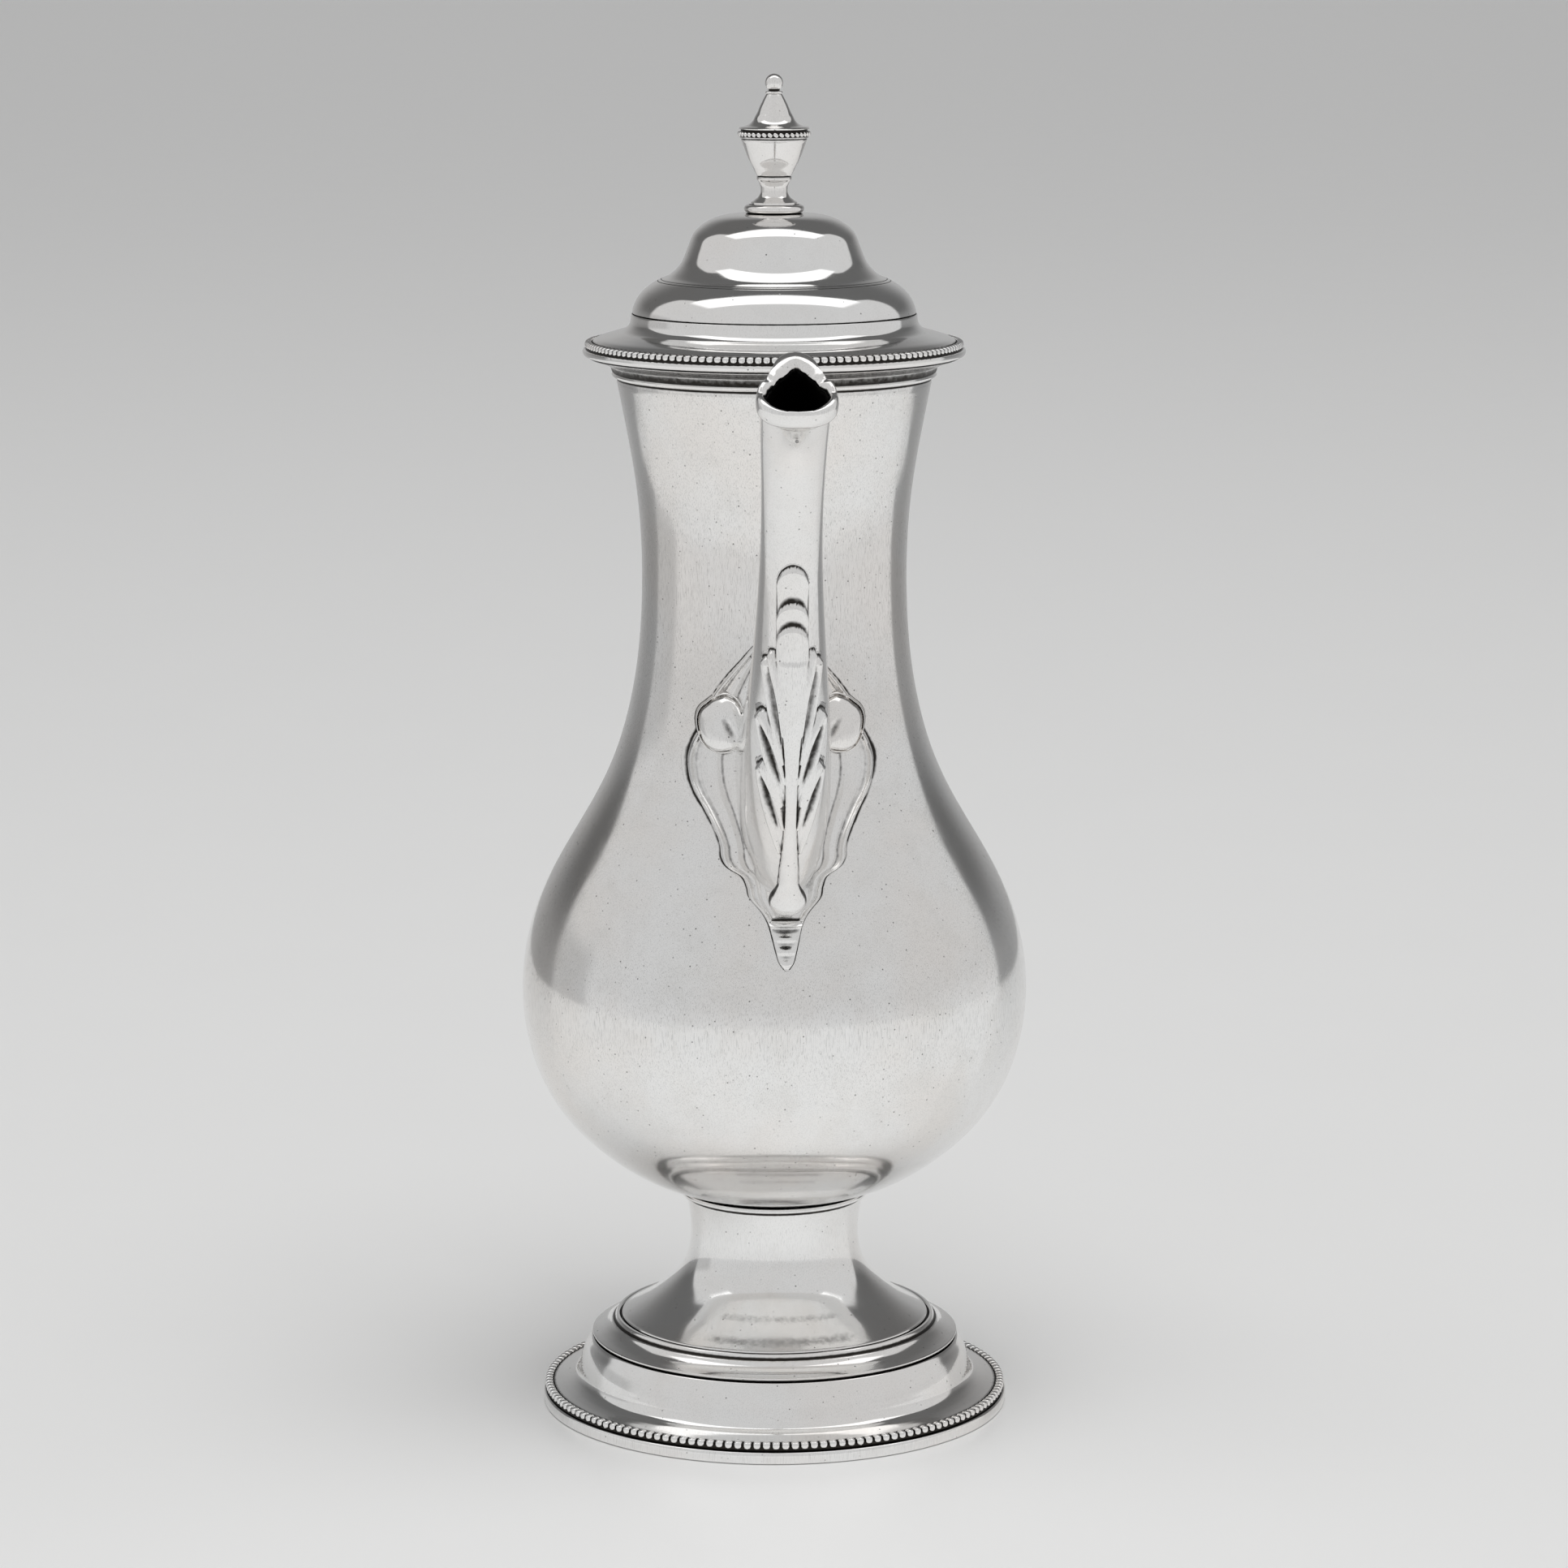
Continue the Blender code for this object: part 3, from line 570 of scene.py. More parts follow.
def make_spout():
    sides = 112
    angles = around(sides)
    stations = fair(smooth(STATIONS, 14), 12)
    pipe = stations[:-9]
    outer, crest = polar(OUTER_LIP, angles), polar(LIP_CREST, angles)
    opening, throat = polar(OPENING, angles), polar(THROAT, angles)
    opening = opening * (1 + 0.025 * np.sin(5 * angles + 1.0) + 0.018 * np.sin(11 * angles + 2.3)
                         + 0.010 * np.sin(23 * angles + 0.7))      # worn uneven by use
    turn = np.degrees(from_front(angles))
    hood = ease((turn - 100) / 25)
    crown = np.interp(turn, [0, 60, 72, 80, 92, 104, 114, 128, 180],
                      [0.55, 0.55, 0.35, -0.15, 0.35, 0.4, -0.1, 0.35, 0.5])
    notch = 0.35 * (crown < 0.1)
    rings, dark = [], []

    def ring(points, tarnish):
        rings.append(points)
        dark.append(np.broadcast_to(tarnish, sides))

    for s in pipe:
        ring(section(s, angles, 0), 0)
    last = section(pipe[-1], angles, 0)
    swell = mouth_ring(outer, angles, -2.9 + 1.8 * hood)
    for t in np.linspace(0.12, 0.88, 7):
        ring(last * (1 - ease(t)) + swell * ease(t), 0.25 * ease(1 - abs(t - 0.5) / 0.3))
    # On the hood a painted shade line runs along the lip, just inside its outer edge.
    lip = [(outer * 0.985, -3.0, 0.3), (outer, -2.4, 0.0), (outer + 0.08, -1.7, 0),
           (outer + 0.02, -1.0, 0), (outer * 0.92 + crest * 0.08, -0.45, 0.3 * hood),
           (outer * 0.7 + crest * 0.3, 0.0, 0.1 * hood), (outer * 0.35 + crest * 0.65, 0.25, 0)]
    for radius, out, tarnish in lip:
        lower = out * (1 - 0.62 * hood) + crown * ease((out + 2.4) / 2.4)
        ring(mouth_ring(radius, angles, lower), tarnish + notch * (out > -1.2))
    for share, out, tarnish in ((0.0, 0.3, 0.0), (0.3, 0.2, 0.0), (0.6, -0.1, 0.03),
                                (1.0, -0.7, 0.2)):
        ring(mouth_ring(crest * (1 - share) + opening * share, angles,
                        out * (1 - 0.3 * hood) + crown * (1 - share)),
             tarnish + notch * (share < 0.5))
    # Inside the mouth the surface is painted darker going in, and fully dark down the pipe.
    for t in (0.15, 0.4, 0.7, 1.0):
        ring(mouth_ring(opening * (1 - t) + throat * t, angles, -1.0 - 4.0 * t), 0.6 + 0.4 * t)
    for s in [*pipe[::-1][12::6], pipe[0]]:
        ring(section(s, angles, -1.0), 1.0)
    shape = Shape()
    shape.grid(np.array(rings), np.array(dark), wrap_rows=True)
    ball = section(stations[-16], np.array([0.0]), 0.1)[0]
    shape.lathe([(0, -0.5, 0.5), (0.33, -0.38, 0.6), (0.5, 0), (0.33, 0.38), (0, 0.5)], 16,
                Matrix.Translation(Vector(ball)) @ Matrix.Rotation(-1.2, 4, "X"))
    shape.piece("spout", CAST, "pot", crease=50)


# Folds of the leaf on each side of its midrib: outer tip, inner end, half-widths, height, and how
# far the middle bows inwards
FOLDS = [((4.30, 190.0), (1.9, 172.5), 1.00, 0.50, 1.50, 0.10),
         ((5.60, 188.4), (1.9, 166.0), 0.95, 0.45, 1.30, -0.45),
         ((6.30, 176.8), (1.5, 161.6), 0.95, 0.45, 1.50, 0.35),
         ((6.80, 176.0), (2.0, 156.0), 0.95, 0.40, 1.20, -0.50),
         ((6.00, 165.0), (1.6, 150.6), 0.95, 0.45, 1.45, 0.35),
         ((6.60, 164.2), (2.3, 144.6), 0.95, 0.40, 1.15, -0.50)]
# Long hollows between the folds, painted with shade: outer end, inner end, half-width, and how
# dark the painted shade is
HOLLOWS = [((5.00, 187.4), (2.4, 170.0), 0.90, 0.60), ((6.45, 175.2), (1.7, 158.6), 1.15, 0.74),
           ((6.25, 163.4), (2.1, 148.2), 1.10, 0.72)]
# Half-width of the midrib at each height
MIDRIB = [(2.2, 137.0), (2.0, 141.0), (1.6, 145.0), (1.2, 152.0), (1.2, 160.0), (1.6, 168.0),
          (2.2, 176.0), (2.9, 184.0), (3.3, 190.0), (3.42, 196.0), (3.42, 204.3)]
TONGUE, ARCH = 3.42, 4.446           # the scales' half-width, and the height of their round tops
SCALE_TOPS = (209.2, 201.5, 196.6)
BELOW = -0.6                        # a height inside the wall of what the relief lies on


def beside(side, z, start, end):
    """How far along a line each place is (0 to 1 between its ends), how far inwards of it, and
    the line's length."""
    length = math.hypot(end[0] - start[0], end[1] - start[1])
    way = ((end[0] - start[0]) / length, (end[1] - start[1]) / length)
    t = ((side - start[0]) * way[0] + (z - start[1]) * way[1]) / length
    return t, (side - start[0]) * way[1] - (z - start[1]) * way[0], length


def leaf_relief(side, z):
    """How far the leaf stands out of the spout's surface, and the shade painted on it: above the
    scales' rims and along the hollows between the folds.
    """
    wide, up = np.array(MIDRIB).T
    half = np.interp(z, up, wide)
    round_off = np.sqrt(np.maximum(1 - (side / half) ** 2, 0))
    height = np.where(side < half, 0.55 + 1.35 * round_off ** 0.8, BELOW)
    painted_shade = np.zeros_like(height)
    cross = np.sqrt(np.maximum(1 - (side / TONGUE) ** 2, 0))
    for number, top_z in enumerate(SCALE_TOPS):
        reach = top_z - ARCH * (1 - cross)
        last = number == len(SCALE_TOPS) - 1
        above = 0.0 if last else z - (SCALE_TOPS[number + 1] - ARCH * (1 - cross))
        here = (z < reach) & (side < TONGUE) & (z > 189)
        fall = 0.0 if last else 0.62 * ease((reach - z) / 6.4)
        tile = (0.45 + 0.95 * cross ** 0.7 + 0.12 * number) * (1 - fall)
        tile = tile * ease((reach - z) / 0.35 + 0.3)
        height = np.where(here, tile, height)
        # Painted shade: a dark band across this scale just above the next scale's rim, where it
        # dips
        painted_shade = np.where(here, 0.0 if last else 0.82 * ease(1.15 - above / 2.1) * cross ** 0.5,
                           painted_shade)
    top = SCALE_TOPS[0] - ARCH * (1 - cross)
    outside = (z > 190.5) & ((z > top) | (side > TONGUE))
    height = np.where(outside, BELOW, height)
    for start, end, w0, w1, tall, bow in FOLDS:
        t, off, length = beside(side, z, start, end)
        share = np.clip(t, 0, 1)
        off = off - bow * np.sin(share * math.pi)
        over = np.maximum(np.maximum(-t, t - 1), 0) * length
        wide = (w0 + (w1 - w0) * share) * (0.8 + 0.35 * np.sin(share * math.pi))
        gone = np.hypot(off, over) / wide
        ridge = np.sqrt(np.maximum(1 - gone ** 2, 0))
        fold = np.where(gone < 1, 0.2 + tall * ridge ** 0.8 * (1 - 0.3 * share), BELOW)
        height = np.maximum(height, fold)
    web = np.interp(z, [143, 148, 163, 176, 188], [1.5, 4.0, 5.2, 5.6, 4.6])
    height = np.maximum(height, np.where((side < web) & (z > 143) & (z < 188), 0.3, BELOW))
    for start, end, wide, hollow_shade in HOLLOWS:
        t, off, length = beside(side, z, start, end)
        lens = wide * np.sin(math.pi * np.clip(t, 0.001, 0.999) ** 0.8) ** 0.7
        hollow = np.clip(1 - (off / lens) ** 2, 0, 1) * (t > 0) * (t < 1)
        height = np.where(height > 0, np.maximum(height - 0.8 * hollow, 0.12), height)
        # Painted shade along each hollow, darkest towards its outer side
        shade = bell(off / lens, -0.2, 0.68) * (t > 0) * (t < 1)
        painted_shade = np.maximum(painted_shade, hollow_shade * shade * ease(t / 0.1) * ease((1 - t) / 0.25))
    return height, painted_shade


def aged(height, reach, depth, edge):
    """Lets the relief end in a dark line on the surface under it; also gives the tarnish."""
    solid = (height > 0.04).astype(float)
    near = blurred(solid, edge)
    skirt = (solid < 0.5) & (near > 0.03)
    height = np.where(skirt, 0.05, height)
    dark = np.clip((blurred(np.maximum(height, 0), reach) - height - 0.02) / depth, 0, 1)
    return height, np.where(skirt, np.clip(near * 2.6, 0, 1), dark)


def make_leaf():
    stations = fair(smooth(STATIONS, 40), 40)
    stations = stations[(stations[:, 1] > 134.5) & (stations[:, 1] < 210.6)]
    stations = even(stations, 330)
    x = np.linspace(-8.6, 8.6, 121)
    turns = [np.arcsin(np.clip(x / (station[4] + 0.3), -0.985, 0.985)) for station in stations]
    z = np.array([section(station, turn, 0)[:, 2] for station, turn in zip(stations, turns)])
    height, painted_shade = leaf_relief(np.broadcast_to(np.abs(x), z.shape), z)
    height = blurred(height, 1)
    height, tarnish = aged(height, 34, 0.6, 8)
    tarnish = np.maximum(tarnish, painted_shade)
    skin = np.array([np.vstack([section(station, turn, proud),
                                section(station, turn[::-10], -0.8)])
                     for station, turn, proud in zip(stations, turns, height)])
    dark = np.concatenate([tarnish, np.ones((len(stations), skin.shape[1] - len(x)))], axis=1)
    shape = Shape()
    shape.grid(skin, dark, caps=True)

    bottom, direction = np.array([0, -59.2, 129.0]), np.array([0, -0.62, 0.785])
    outward = np.array([0, -0.785, -0.62])
    knob = smooth([(0.0, 0.0), (2.3, 0.35), (3.7, 1.7), (4.2, 3.5), (3.9, 5.2), (3.0, 7.2),
                   (2.3, 9.3), (2.0, 11.5), (1.9, 13.5)], 5)
    turn = around(40)
    rings = [bottom + direction * way + np.outer(np.sin(turn) * r, [1, 0, 0])
             + np.outer(np.cos(turn) * r * 0.78, outward) for r, way in knob]
    # Painted shade on the knob: dark down its sides, where the surface turns sideways; its foot is
    # dark where it meets the plate
    outline = 0.75 * ease((np.abs(np.sin(turn)) - 0.86) / 0.12)
    shade = [np.maximum(outline, 0.8 * ease((1.6 - way) / 1.6)) for r, way in knob]
    shape.grid(np.array(rings), np.array(shade), caps=True)
    shape.piece("spout_leaf", CAST, "pot", "chased_silver", crease=75)


# Half outline of the root plate, (across, height), from its tail to its top
PLATE = [(0.5, 115.0), (1.7, 116.6), (2.4, 119), (3.1, 121.8), (3.9, 124.6), (5.3, 127.0),
         (7.9, 129.9), (8.5, 132.2), (9.6, 134.3), (12.6, 136.0), (13.9, 137.9), (14.2, 140.5),
         (15.4, 143.6), (17.4, 147.5), (19.5, 151.0), (20.8, 154.5), (21.1, 158.5), (20.0, 162.0),
         (18.2, 165.3), (16.9, 168.5), (15.6, 172), (13.6, 175.0), (11.2, 178), (8.9, 180.6),
         (6.5, 183.5), (3.4, 186.4), (0.6, 188.0)]
# The grooves between the plate's flutes, as shares of its half-width
FLUTES = (0.18, 0.41, 0.63, 0.86)


def make_root_plate():
    outline = even(smooth(PLATE, 10), 330)
    half, z = outline[:, :1], outline[:, 1:2]
    margin = 2.0                    # room beside the plate for the tarnish around it
    share = np.linspace(-1, 1, 181)[None, :]
    x = share * (half + margin)
    side = np.abs(x) / half
    edge = half - np.abs(x)
    plate = np.where(edge > 0, 0.9 * ease(edge / 0.3 + 0.15), BELOW)
    cord = 0.75 * bell(edge, 0.75, 0.42)
    spread = ease((z - 126) / 12)
    flutes = np.zeros_like(side)
    for low, high in zip(FLUTES, FLUTES[1:]):
        share_in = np.clip((side - low) / (high - low), 0, 1)
        flutes = flutes + 0.8 * spread * np.sin(math.pi * share_in) ** 1.4
    flutes = flutes * ease((edge - 1.1) / 0.8) - 0.35 * spread * ease((edge - 1.2) / 1)
    bar = bell(z, 124.6, 0.4)
    rings = 0.5 + 0.5 * np.cos((z - 124.6) * 2 * math.pi / 2.7)
    tail = 0.9 * np.sqrt(np.maximum(1 - side ** 2, 0)) * (0.45 + 0.55 * rings) + 0.7 * bar
    relief = np.where(z > 125.4, flutes, tail * ease(edge / 0.3))
    height = np.where(edge > 0, plate + cord * (z > 125.4) + relief, BELOW)
    height, tarnish = aged(height, 26, 0.36, 24)
    tarnish = np.maximum(tarnish, 0.34 * bell(edge, 1.7, 0.4) * (z > 126))
    # Painted shadow of the knob on the plate, stronger on its right side
    shadow = bell(z, 135, 5) * bell(np.abs(x), 5.0, 2.0)
    tarnish = np.maximum(tarnish, np.where(x > 0, 0.62, 0.35) * shadow)
    uneven = 0.78 + 0.22 * np.sin(z / 2.3 + np.sign(x))
    tarnish = np.where(edge < 0, tarnish * np.where(z < 172, 1.0, 0.75) * uneven, tarnish)
    z = np.repeat(z, share.shape[1], axis=1)
    top = on_body(x, z, height)
    under = on_body(x[:, ::-10], z[:, ::-10], np.full_like(x[:, ::10], -0.7))
    shape = Shape()
    shape.grid(np.concatenate([top, under], axis=1),
               np.concatenate([tarnish, np.ones(under.shape[:2])], axis=1), caps=True)
    shape.piece("spout_root_plate", CAST, "pot", "chased_silver", crease=75)


def make_ears():
    """The bean-shaped lobes beside the root: each curls up along the spout and has a fine rim."""
    rho = np.linspace(0, 1, 52)[:, None]
    phi = around(96)[None, :]
    for node, side in (("spout_ear_left", -1), ("spout_ear_right", 1)):
        u = rho * 5.8 * squared(np.cos(phi), 0.82)
        v = rho * 6.2 * squared(np.sin(phi), 0.82)
        curl = 1.8 * ease((-np.cos(phi) * 0.8 + np.sin(phi) * 0.6 - 0.2) / 0.8)
        v = v + rho ** 2 * curl
        lean = math.radians(12)
        c, s = math.cos(lean), math.sin(lean)
        x = side * (13.4 + u * c + v * s)
        z = 165.9 - u * s + v * c
        lobe = 3.0 * np.sqrt(np.maximum(1 - (rho / 0.88) ** 2, 0)) ** 0.8
        dent = -0.7 * bell(u - 0.25 * v, -1.4, 1.2) * bell(v, -0.5, 3.0)
        rim = 0.9 * bell(rho, 0.93, 0.035)
        drop = -1.3 * ease((rho - 0.965) / 0.03)
        height = 0.9 + lobe + dent + rim + drop + 0 * phi
        height = np.where(rho > 0.97, np.maximum(height, 0.05), height)
        # The groove inside the rim is darker on its top side; the dark line round the edge, where
        # the ear meets the body, is painted stronger on the lower side as a painted shade under
        # the ear
        top_side = ease((np.sin(phi) - 0.1) / 0.6)
        groove = (0.25 + 0.25 * top_side) * bell(rho, 0.87, 0.025)
        tarnish = np.clip(groove + (0.9 - 0.3 * top_side) * ease((rho - 0.945) / 0.03), 0, 1)
        # Painted reflection: a dark streak down the ear's bulge
        dark_reflection = bell(u - 0.3 * v, -1.2, 1.0) * bell(v, -0.6, 3.4)
        tarnish = np.maximum(tarnish, 0.60 * dark_reflection)
        top = on_body(x, z, height)
        low = on_body(x[-1:], z[-1:], np.full((1, 96), -0.5))
        shape = Shape()
        shape.grid(np.concatenate([top, low]), np.concatenate([tarnish, np.ones((1, 96))]),
                   caps=True)
        shape.piece(node, CAST, "pot", "chased_silver", crease=75)


# ---- handle ----

UPPER_SOCKET, UPPER_SLOPE = (29.3, 219.97), math.atan2(0.2283, 0.9736)
LOWER_SOCKET, LOWER_SLOPE = (53.1, 104.0), math.atan2(0.3162, 0.9487)
WOOD_END = 11.5


def along(start, slope, distance):
    return (start[0] + distance * math.cos(slope), start[1] + distance * math.sin(slope))


def tube(shape, points, steps):
    """A tube about a route of (back, height, half-width, half-depth) in the middle plane."""
    curve = fair(smooth(points, steps), 6)
    way = np.gradient(curve[:, :2], axis=0)
    way /= np.linalg.norm(way, axis=1)[:, None]
    angles = around(36)
    out = curve[:, 3:4] * np.cos(angles)
    rings = np.stack([curve[:, 2:3] * np.sin(angles), curve[:, :1] + out * way[:, 1:],
                      curve[:, 1:2] - out * way[:, :1]], axis=-1)
    shape.grid(rings, np.zeros(rings.shape[:2]), caps=True)


def make_handle():
    upper = [(*along(UPPER_SOCKET, UPPER_SLOPE, d), 5.9, 5.9) for d in (WOOD_END, 19.0, 26.5)]
    bow = [(65.5, 230.2, 6.3, 6.6), (78, 232.2, 6.6, 7.3), (91, 228.0, 6.6, 7.2),
           (99.8, 216, 6.5, 6.9), (102.7, 199, 6.4, 6.6), (101.2, 180, 6.2, 6.3),
           (96.8, 161, 6.0, 6.0), (91.3, 144, 5.8, 5.9), (87.2, 130, 5.7, 5.8),
           (83.0, 119.5, 5.7, 5.8)]
    lower = [(*along(LOWER_SOCKET, LOWER_SLOPE, d), 5.9, 5.9) for d in (24.5, 18.0, WOOD_END)]
    shape = Shape()
    tube(shape, upper + bow + lower, 10)
    tube(shape, [(86, 231, 4.6, 5.0), (77, 238.0, 4.8, 3.8), (70, 241.6, 4.4, 2.8),
                 (64, 242.6, 3.9, 2.1), (60.6, 241.4, 3.2, 1.5), (59.6, 239.4, 2.2, 0.8)], 8)
    tube(shape, [(90, 146, 3.6, 3.8), (92.3, 134, 4.0, 3.4), (97.0, 125.0, 3.7, 2.7),
                 (102.0, 120.9, 3.1, 1.9), (105.0, 121.3, 2.4, 1.3), (106.0, 123.0, 1.5, 0.7)], 8)
    handle = shape.piece("handle_wood", WOOD, "pot", "stained_wood")
    voxels = handle.modifiers.new("carved", "REMESH")
    voxels.mode = "VOXEL"
    voxels.voxel_size = 0.55 * MM
    sanded = handle.modifiers.new("sanded", "SMOOTH")
    sanded.factor = 0.5
    sanded.iterations = 14
    apply_modifiers(handle)
    handle.data.shade_smooth()

    for place, start, slope in (("upper", UPPER_SOCKET, UPPER_SLOPE),
                                ("lower", LOWER_SOCKET, LOWER_SLOPE)):
        turn = (Matrix.Translation((0, start[0], start[1]))
                @ Matrix.Rotation(slope - math.pi / 2, 4, "X"))
        cup = smooth([(11.2, 0), (10.0, 4.4), (8.5, 8.0), (7.7, 11.0), (7.4, 14.5),
                      (7.45, 18.4)], 8)
        rim = [(7.5, 18.7, 0.8), (7.75, 18.9, 0.1), (8.0, 19.3), (7.8, 19.7, 0.1),
               (7.75, 19.85, 0.9), (8.1, 20.0, 0.1), (8.5, 20.4), (8.6, 21.0), (8.4, 21.6),
               (7.9, 22.0), (7.2, 22.1), (6.35, 22.1, 0.8)]
        shape = Shape()
        shape.lathe([(0, 0.6)] + list(cup) + rim + [(6.25, 10.5, 1), (0, 10.5, 1)], SLIM, turn)
        shape.piece("handle_%s_socket" % place, TURNED, "pot")
        back, height = along(start, slope, 16.5)
        rod("handle_%s_pin" % place, back, height, 1.1, 8.1)


def crosswise(back, height):
    """Places a turned shape across the pot, its axis along X."""
    return Matrix.Translation((0, back, height)) @ Matrix.Rotation(math.pi / 2, 4, "Y")


def rod(node, back, height, radius, half):
    """A pin across the pot, its ends filed to low domes."""
    shape = Shape()
    dome = [(0, half, 0), (radius * 0.5, half - 0.06, 0), (radius * 0.85, half - 0.22, 0),
            (radius, half - 0.45, 0.5)]
    outline = [(r, -z, dark) for r, z, dark in dome] + dome[::-1]
    shape.lathe(outline, 32, crosswise(back, height))
    shape.piece(node, SMALL, "pot", "silver_fasteners")


# ---- lid, hinge and finial ----

def make_lid():
    flange = smooth([(41.4, 249.75), (40.2, 250.4), (38.1, 251.05), (36.2, 251.6), (34.6, 252.1),
                     (33.6, 252.75), (33.0, 253.5), (32.75, 254.3), (32.6, 255.55)], 7)
    flange = np.column_stack([flange, 0.5 * ease((flange[:, 0] - 40.8) / 0.6)])
    rim = [(34.25, 246.4, 0.7), (34.9, 246.4, 0.2), (41.6, 246.4, 0.16), (42.5, 246.4, 0.6),
           (42.9, 246.4, 0.6), (43.35, 246.55, 0.2), (43.6, 246.85), (43.75, 247.4), (43.6, 247.8),
           (43.2, 248.0, 0.5), (42.2, 248.05, 1), (41.5, 248.4, 1), (41.35, 249.3, 1)]
    inside = [(32.52, 255.78, 0.3), (32.35, 255.9, 0.9), (31.6, 255.95, 1), (31.7, 254.2, 0.5),
              (32.2, 252.6, 0.5), (33.4, 251.2, 0.5), (34.25, 250.6, 0.5)]
    turned("lid_flange", rim + list(flange) + inside, FINE, LID, "lid")
    dome = smooth([(32.38, 256.12), (32.15, 257.3), (31.3, 259.2), (29.9, 261.0), (28.0, 262.5),
                   (25.9, 263.7), (23.9, 264.5), (21.5, 266.8), (20.5, 268.7), (19.5, 271.3),
                   (18.3, 274.1), (16.2, 276.1), (13.6, 277.5), (10.5, 278.25), (6.0, 278.65),
                   (1.9, 278.7)], 12)
    dome = fair(even(dome, 190), 14)
    line = np.zeros(len(dome))
    for r in (26.6, 25.7):
        line[np.argmin(np.abs(dome[:, 0] - r) + (dome[:, 1] < 262))] = 1.0
    foot_line = 0.6 * ease((256.35 - dome[:, 1]) / 0.2)
    dome[:, 1] -= 0.08 * line
    inner = lining(dome[::4], 0.8, 0.45)
    outer = np.column_stack([dome, np.maximum(line, foot_line)])
    turned("lid_dome", [(31.9, 256.02, 1), *outer, *inner, (31.3, 256.02, 1)], FINE, LID, "lid")
    turned("lid_bezel", [(33.0, 240.3, 0.2), (33.7, 240.3, 0.2), (33.9, 240.6, 0.1),
                         (33.9, 250.2, 0.4), (32.85, 250.2, 0.5), (32.85, 240.6, 0.4)], BROAD,
           TURNED, "lid")


def barrel(shape, left, right):
    """A hinge knuckle: a short tube with a turned line near each end."""
    r = KNUCKLE_RADIUS
    end = [(KNUCKLE_BORE, 0, 1), (r * 0.9, 0, 0.8), (r, 0.2, 0), (r, 0.7, 0), (r - 0.12, 0.8, 1),
           (r, 0.9, 0)]
    outline = [(radius, left + inwards, dark) for radius, inwards, dark in end]
    outline += [(radius, right - inwards, dark) for radius, inwards, dark in end[::-1]]
    shape.lathe(outline, 48, crosswise(HINGE_BACK, HINGE_Z))


def plate(shape, outline, left, right):
    """A flat piece across the pot, from an outline of (back, height), with eased edges."""
    bevel = 0.3
    ring = np.array(outline, float)
    middle = ring.mean(axis=0)
    small = middle + (ring - middle) * (1 - bevel / np.abs(ring - middle).max())
    rows = []
    for x, edge in ((left, small), (left + bevel, ring), (right - bevel, ring), (right, small)):
        rows.append(np.column_stack([np.full(len(ring), x), edge]))
    shape.grid(np.array(rows), np.full((4, len(ring)), 0.12), caps=True)


def make_hinge():
    shape = Shape()
    for left, right in ((-8.0, -2.9), (2.9, 8.0)):
        barrel(shape, left, right)
        plate(shape, [(44.8, 243.6), (49.1, 243.6), (49.2, 247.0), (47.0, 248.4), (44.75, 247.0)],
              left + 0.1, right - 0.1)
    plate(shape, [(38.4, 242.9), (48.0, 242.9), (48.6, 243.4), (48.6, 244.3), (48.2, 244.7),
                  (38.4, 244.7)], -8, 8)
    shape.piece("hinge_body_leaf", SMALL, "pot")
    shape = Shape()
    barrel(shape, -2.6, 2.6)
    plate(shape, [(43.9, 246.6), (45.4, 246.1), (45.8, 246.6), (45.8, 248.4), (45.4, 248.9),
                  (43.9, 248.2)], -2.5, 2.5)
    shape.piece("hinge_lid_leaf", SMALL, "lid")
    rod("hinge_pin", HINGE_BACK, HINGE_Z, 0.9, 8.6)


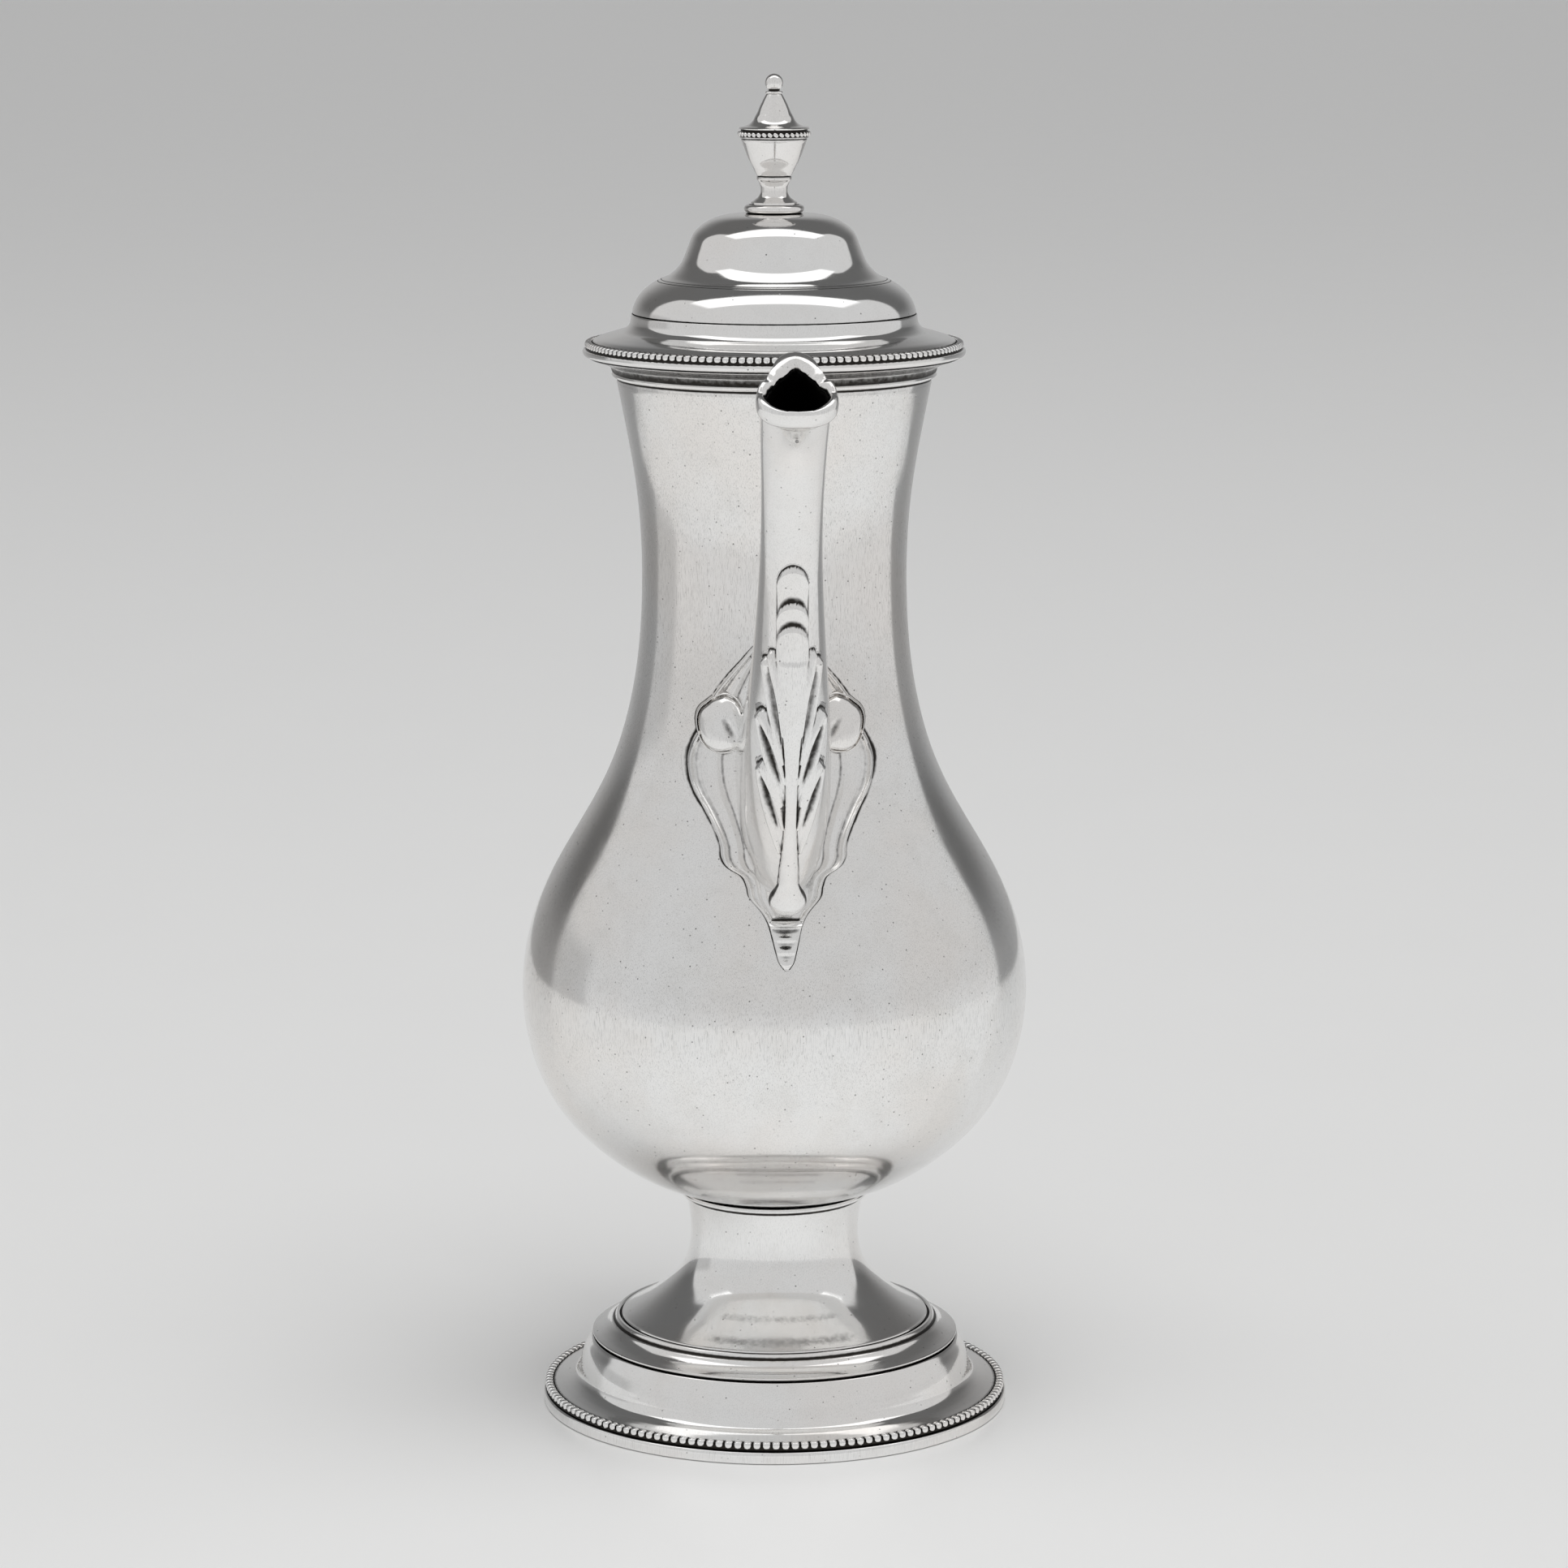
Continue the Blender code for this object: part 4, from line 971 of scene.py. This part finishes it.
def make_finial():
    base = [(1.9, 278.75, 0.6), (6.1, 278.75, 0.9)]
    base += [(r, z, 0.8 if k < 3 else 0) for k, (r, z) in
             enumerate(arc(5.95, 279.62, 0.92, -80, 80, 14))]
    base += [(5.6, 280.5, 0.9), (5.4, 280.55, 0.9), (5.3, 280.7), (5.25, 281.1), (4.9, 281.3),
             (4.55, 281.5)]
    base += list(smooth([(4.4, 281.65), (3.7, 282.2), (3.25, 282.9), (3.08, 283.6), (3.15, 284.6),
                         (3.5, 285.6)], 5))
    base += [(3.75, 286.0, 0.2), (3.95, 286.2), (4.0, 286.5), (3.9, 286.85, 0.7),
             (1.9, 286.85, 0.8)]
    turned("finial_base", base, SLIM, TURNED, "lid")
    urn = [(0, 291.3), (1.9, 291.3), (1.9, 287.0, 0.8), (3.8, 287.0, 0.9)]
    urn += list(smooth([(4.0, 287.15), (4.45, 288.0), (5.0, 289.2), (5.7, 290.5), (6.3, 291.9),
                        (6.85, 293.4), (7.2, 294.4)], 7))
    urn += [(7.3, 294.75, 0.3), (7.4, 294.9), (7.5, 295.15), (7.45, 295.35, 0.7), (0, 295.35, 1)]
    turned("finial_urn", urn, SLIM, TURNED, "lid")
    cap = [(0, 295.6, 1), (6.0, 295.6, 1), (6.0, 297.4, 1), (7.6, 297.5, 0.9), (7.95, 297.6, 0.1),
           (8.0, 297.8), (7.8, 298.0)]
    cap += list(smooth([(7.2, 298.1), (6.2, 298.4), (5.35, 298.9), (4.75, 299.6), (4.3, 300.5),
                        (3.8, 301.4), (3.2, 302.8), (2.5, 304.2), (1.85, 305.35)], 6))
    cap += [(1.75, 305.45, 0.7), (1.95, 305.6), (2.02, 305.8), (1.9, 306.0), (1.5, 306.1, 0.8),
            (1.2, 306.2, 0.9), (1.2, 306.3, 0.7)]
    cap += arc(0, 307.95, 2.05, -54, 84, 18) + [(0, 310.0)]
    turned("finial_cap", cap, SLIM, TURNED, "lid")
    turned("finial_stud", [(0, 273.6), (1.1, 273.6), (1.5, 274.0, 0.3), (1.5, 291.0, 0.3),
                           (0, 291.0)], 32, SMALL, "lid", "silver_fasteners")
    shape = Shape()
    shape.lathe([(1.6, 274.8, 0.6), (3.7, 274.8), (4.2, 275.1, 0.1), (4.2, 277.0, 0.1),
                 (3.9, 277.3, 0.5), (1.6, 277.3, 0.8)], 6)
    shape.piece("finial_nut", SMALL, "lid", "silver_fasteners", crease=20)


# ---- studio ----

def make_floor():
    """A round table, and round it the far floor, which reflections don't show."""
    g = Graph("studio_floor")
    mottle = g.noise(60, 4)
    colour = g.mix(mottle, (0.804, 0.804, 0.799), (0.811, 0.811, 0.806))
    g.finish_with(colour, g.range(mottle, 0.3, 0.7, 0.30, 0.32), g.times(mottle, 0.0002 * MM))
    count = 96
    turn = around(count)
    rim = np.stack([np.cos(turn), np.sin(turn), 0 * turn], axis=-1)
    near, far = rim * 0.9, rim * 30.0
    table = ("floor_near", near, [range(count)])
    beyond = ("floor_far", np.vstack([near, far]),
              [(k, (k + 1) % count, count + (k + 1) % count, count + k) for k in range(count)])
    for name, points, faces in (table, beyond):
        mesh = bpy.data.meshes.new(name)
        mesh.from_pydata(points.tolist(), [], faces)
        mesh.materials.append(g.material)
        floor = put(name, mesh)
        floor.visible_glossy = name == "floor_near"


def make_world():
    """Soft light by direction: a box overhead, a broad pale screen in front and at the sides,
    and dusk behind. Angles are in degrees; a bearing of 0 is straight in front of the pot."""
    world = bpy.data.worlds.new("studio")
    bpy.context.scene.world = world
    world.use_nodes = True
    world.node_tree.nodes.clear()
    w = Nodes(world.node_tree)

    def angle(operation, a, b=0.0):
        return w.math("DEGREES", w.math(operation, a, b))

    ray = w.node("SeparateXYZ", {0: w.node("TexCoord").outputs["Generated"]})
    x, y, z = ray.outputs
    toward = w.times(y, -1.0)
    signed = angle("ARCTAN2", x, toward)
    rise = angle("ARCSINE", z)
    narrowing = w.times(w.range(rise, 42, 62), 22)
    bearing = w.plus(w.math("ABSOLUTE", w.plus(signed, 2)), narrowing)

    behind = w.between(w.range(rise, -4, 16), 0.29, 0.135)
    glow = w.times(w.range(bearing, 135, 178), w.range(rise, 38, 8))
    behind = w.between(glow, behind, 0.44)
    side = w.between(w.range(rise, 6, 14), 0.635, 0.645)
    side = w.between(w.range(rise, 4, -8), side, 0.70)
    left = w.times(w.range(signed, -93, -101), w.range(rise, 14, 6))
    side = w.between(left, side, 0.50)
    screen = w.between(w.range(bearing, 124, 120), behind, side)
    screen = w.between(w.range(rise, 78, 84), screen, 0.135)

    # Angles of the ray from straight up, towards the front and to each side
    depth = angle("ARCTAN2", toward, z)
    across = w.math("ABSOLUTE", angle("ARCTAN2", x, z))
    veil = w.times(w.range(depth, -17, -14), w.range(across, 20, 16))
    screen = w.between(w.times(veil, w.range(z, 0.3, 0.5)), screen, 0.635)
    box = w.times(w.range(depth, -16, -13), w.range(depth, 15, 12))
    box = w.times(box, w.range(across, 44, 38))
    light = w.between(box, screen, 1.3)
    backdrop = 0.72
    seen = w.node("LightPath").outputs["Is Camera Ray"]
    strength = w.between(seen, light, backdrop)
    colour = w.node("CombineColor", {0: strength, 1: strength, 2: strength})
    background = w.node("Background", {"Color": colour.outputs[0], "Strength": 1.0})
    w.feed(w.node("OutputWorld").inputs["Surface"], background.outputs[0])


def make_light():
    """A large lamp overhead that lights the floor and stays out of the reflections."""
    light = bpy.data.lights.new("overhead", "AREA")
    light.shape = "RECTANGLE"
    light.size, light.size_y = 2.6, 2.2
    light.energy = 51.0
    lamp = put("overhead", light)
    place, aim = Vector((0.3, -0.8, 3.2)), Vector((0, 0, 0.1))
    lamp.location = place
    lamp.rotation_euler = (aim - place).to_track_quat("-Z", "Y").to_euler()
    lamp.visible_glossy = False


def make_camera():
    distance, height, azimuth = 1.1628, 0.3548, math.radians(2.7)
    camera = bpy.data.cameras.new("camera")
    camera.lens = 117.05
    camera.sensor_width = 36.0
    eye = put("camera", camera)
    eye.location = (-distance * math.sin(azimuth), -distance * math.cos(azimuth), height)
    down, aside = 10.14, 0.11
    eye.rotation_euler = (math.radians(90 - down), 0, -azimuth - math.radians(aside))
    bpy.context.scene.camera = eye


for make in (make_body, make_foot, make_borders, make_spout, make_root_plate, make_ears, make_leaf,
             make_handle, make_lid, make_hinge, make_finial, make_floor, make_world, make_light,
             make_camera):
    make()
bpy.context.scene.view_settings.view_transform = "Standard"
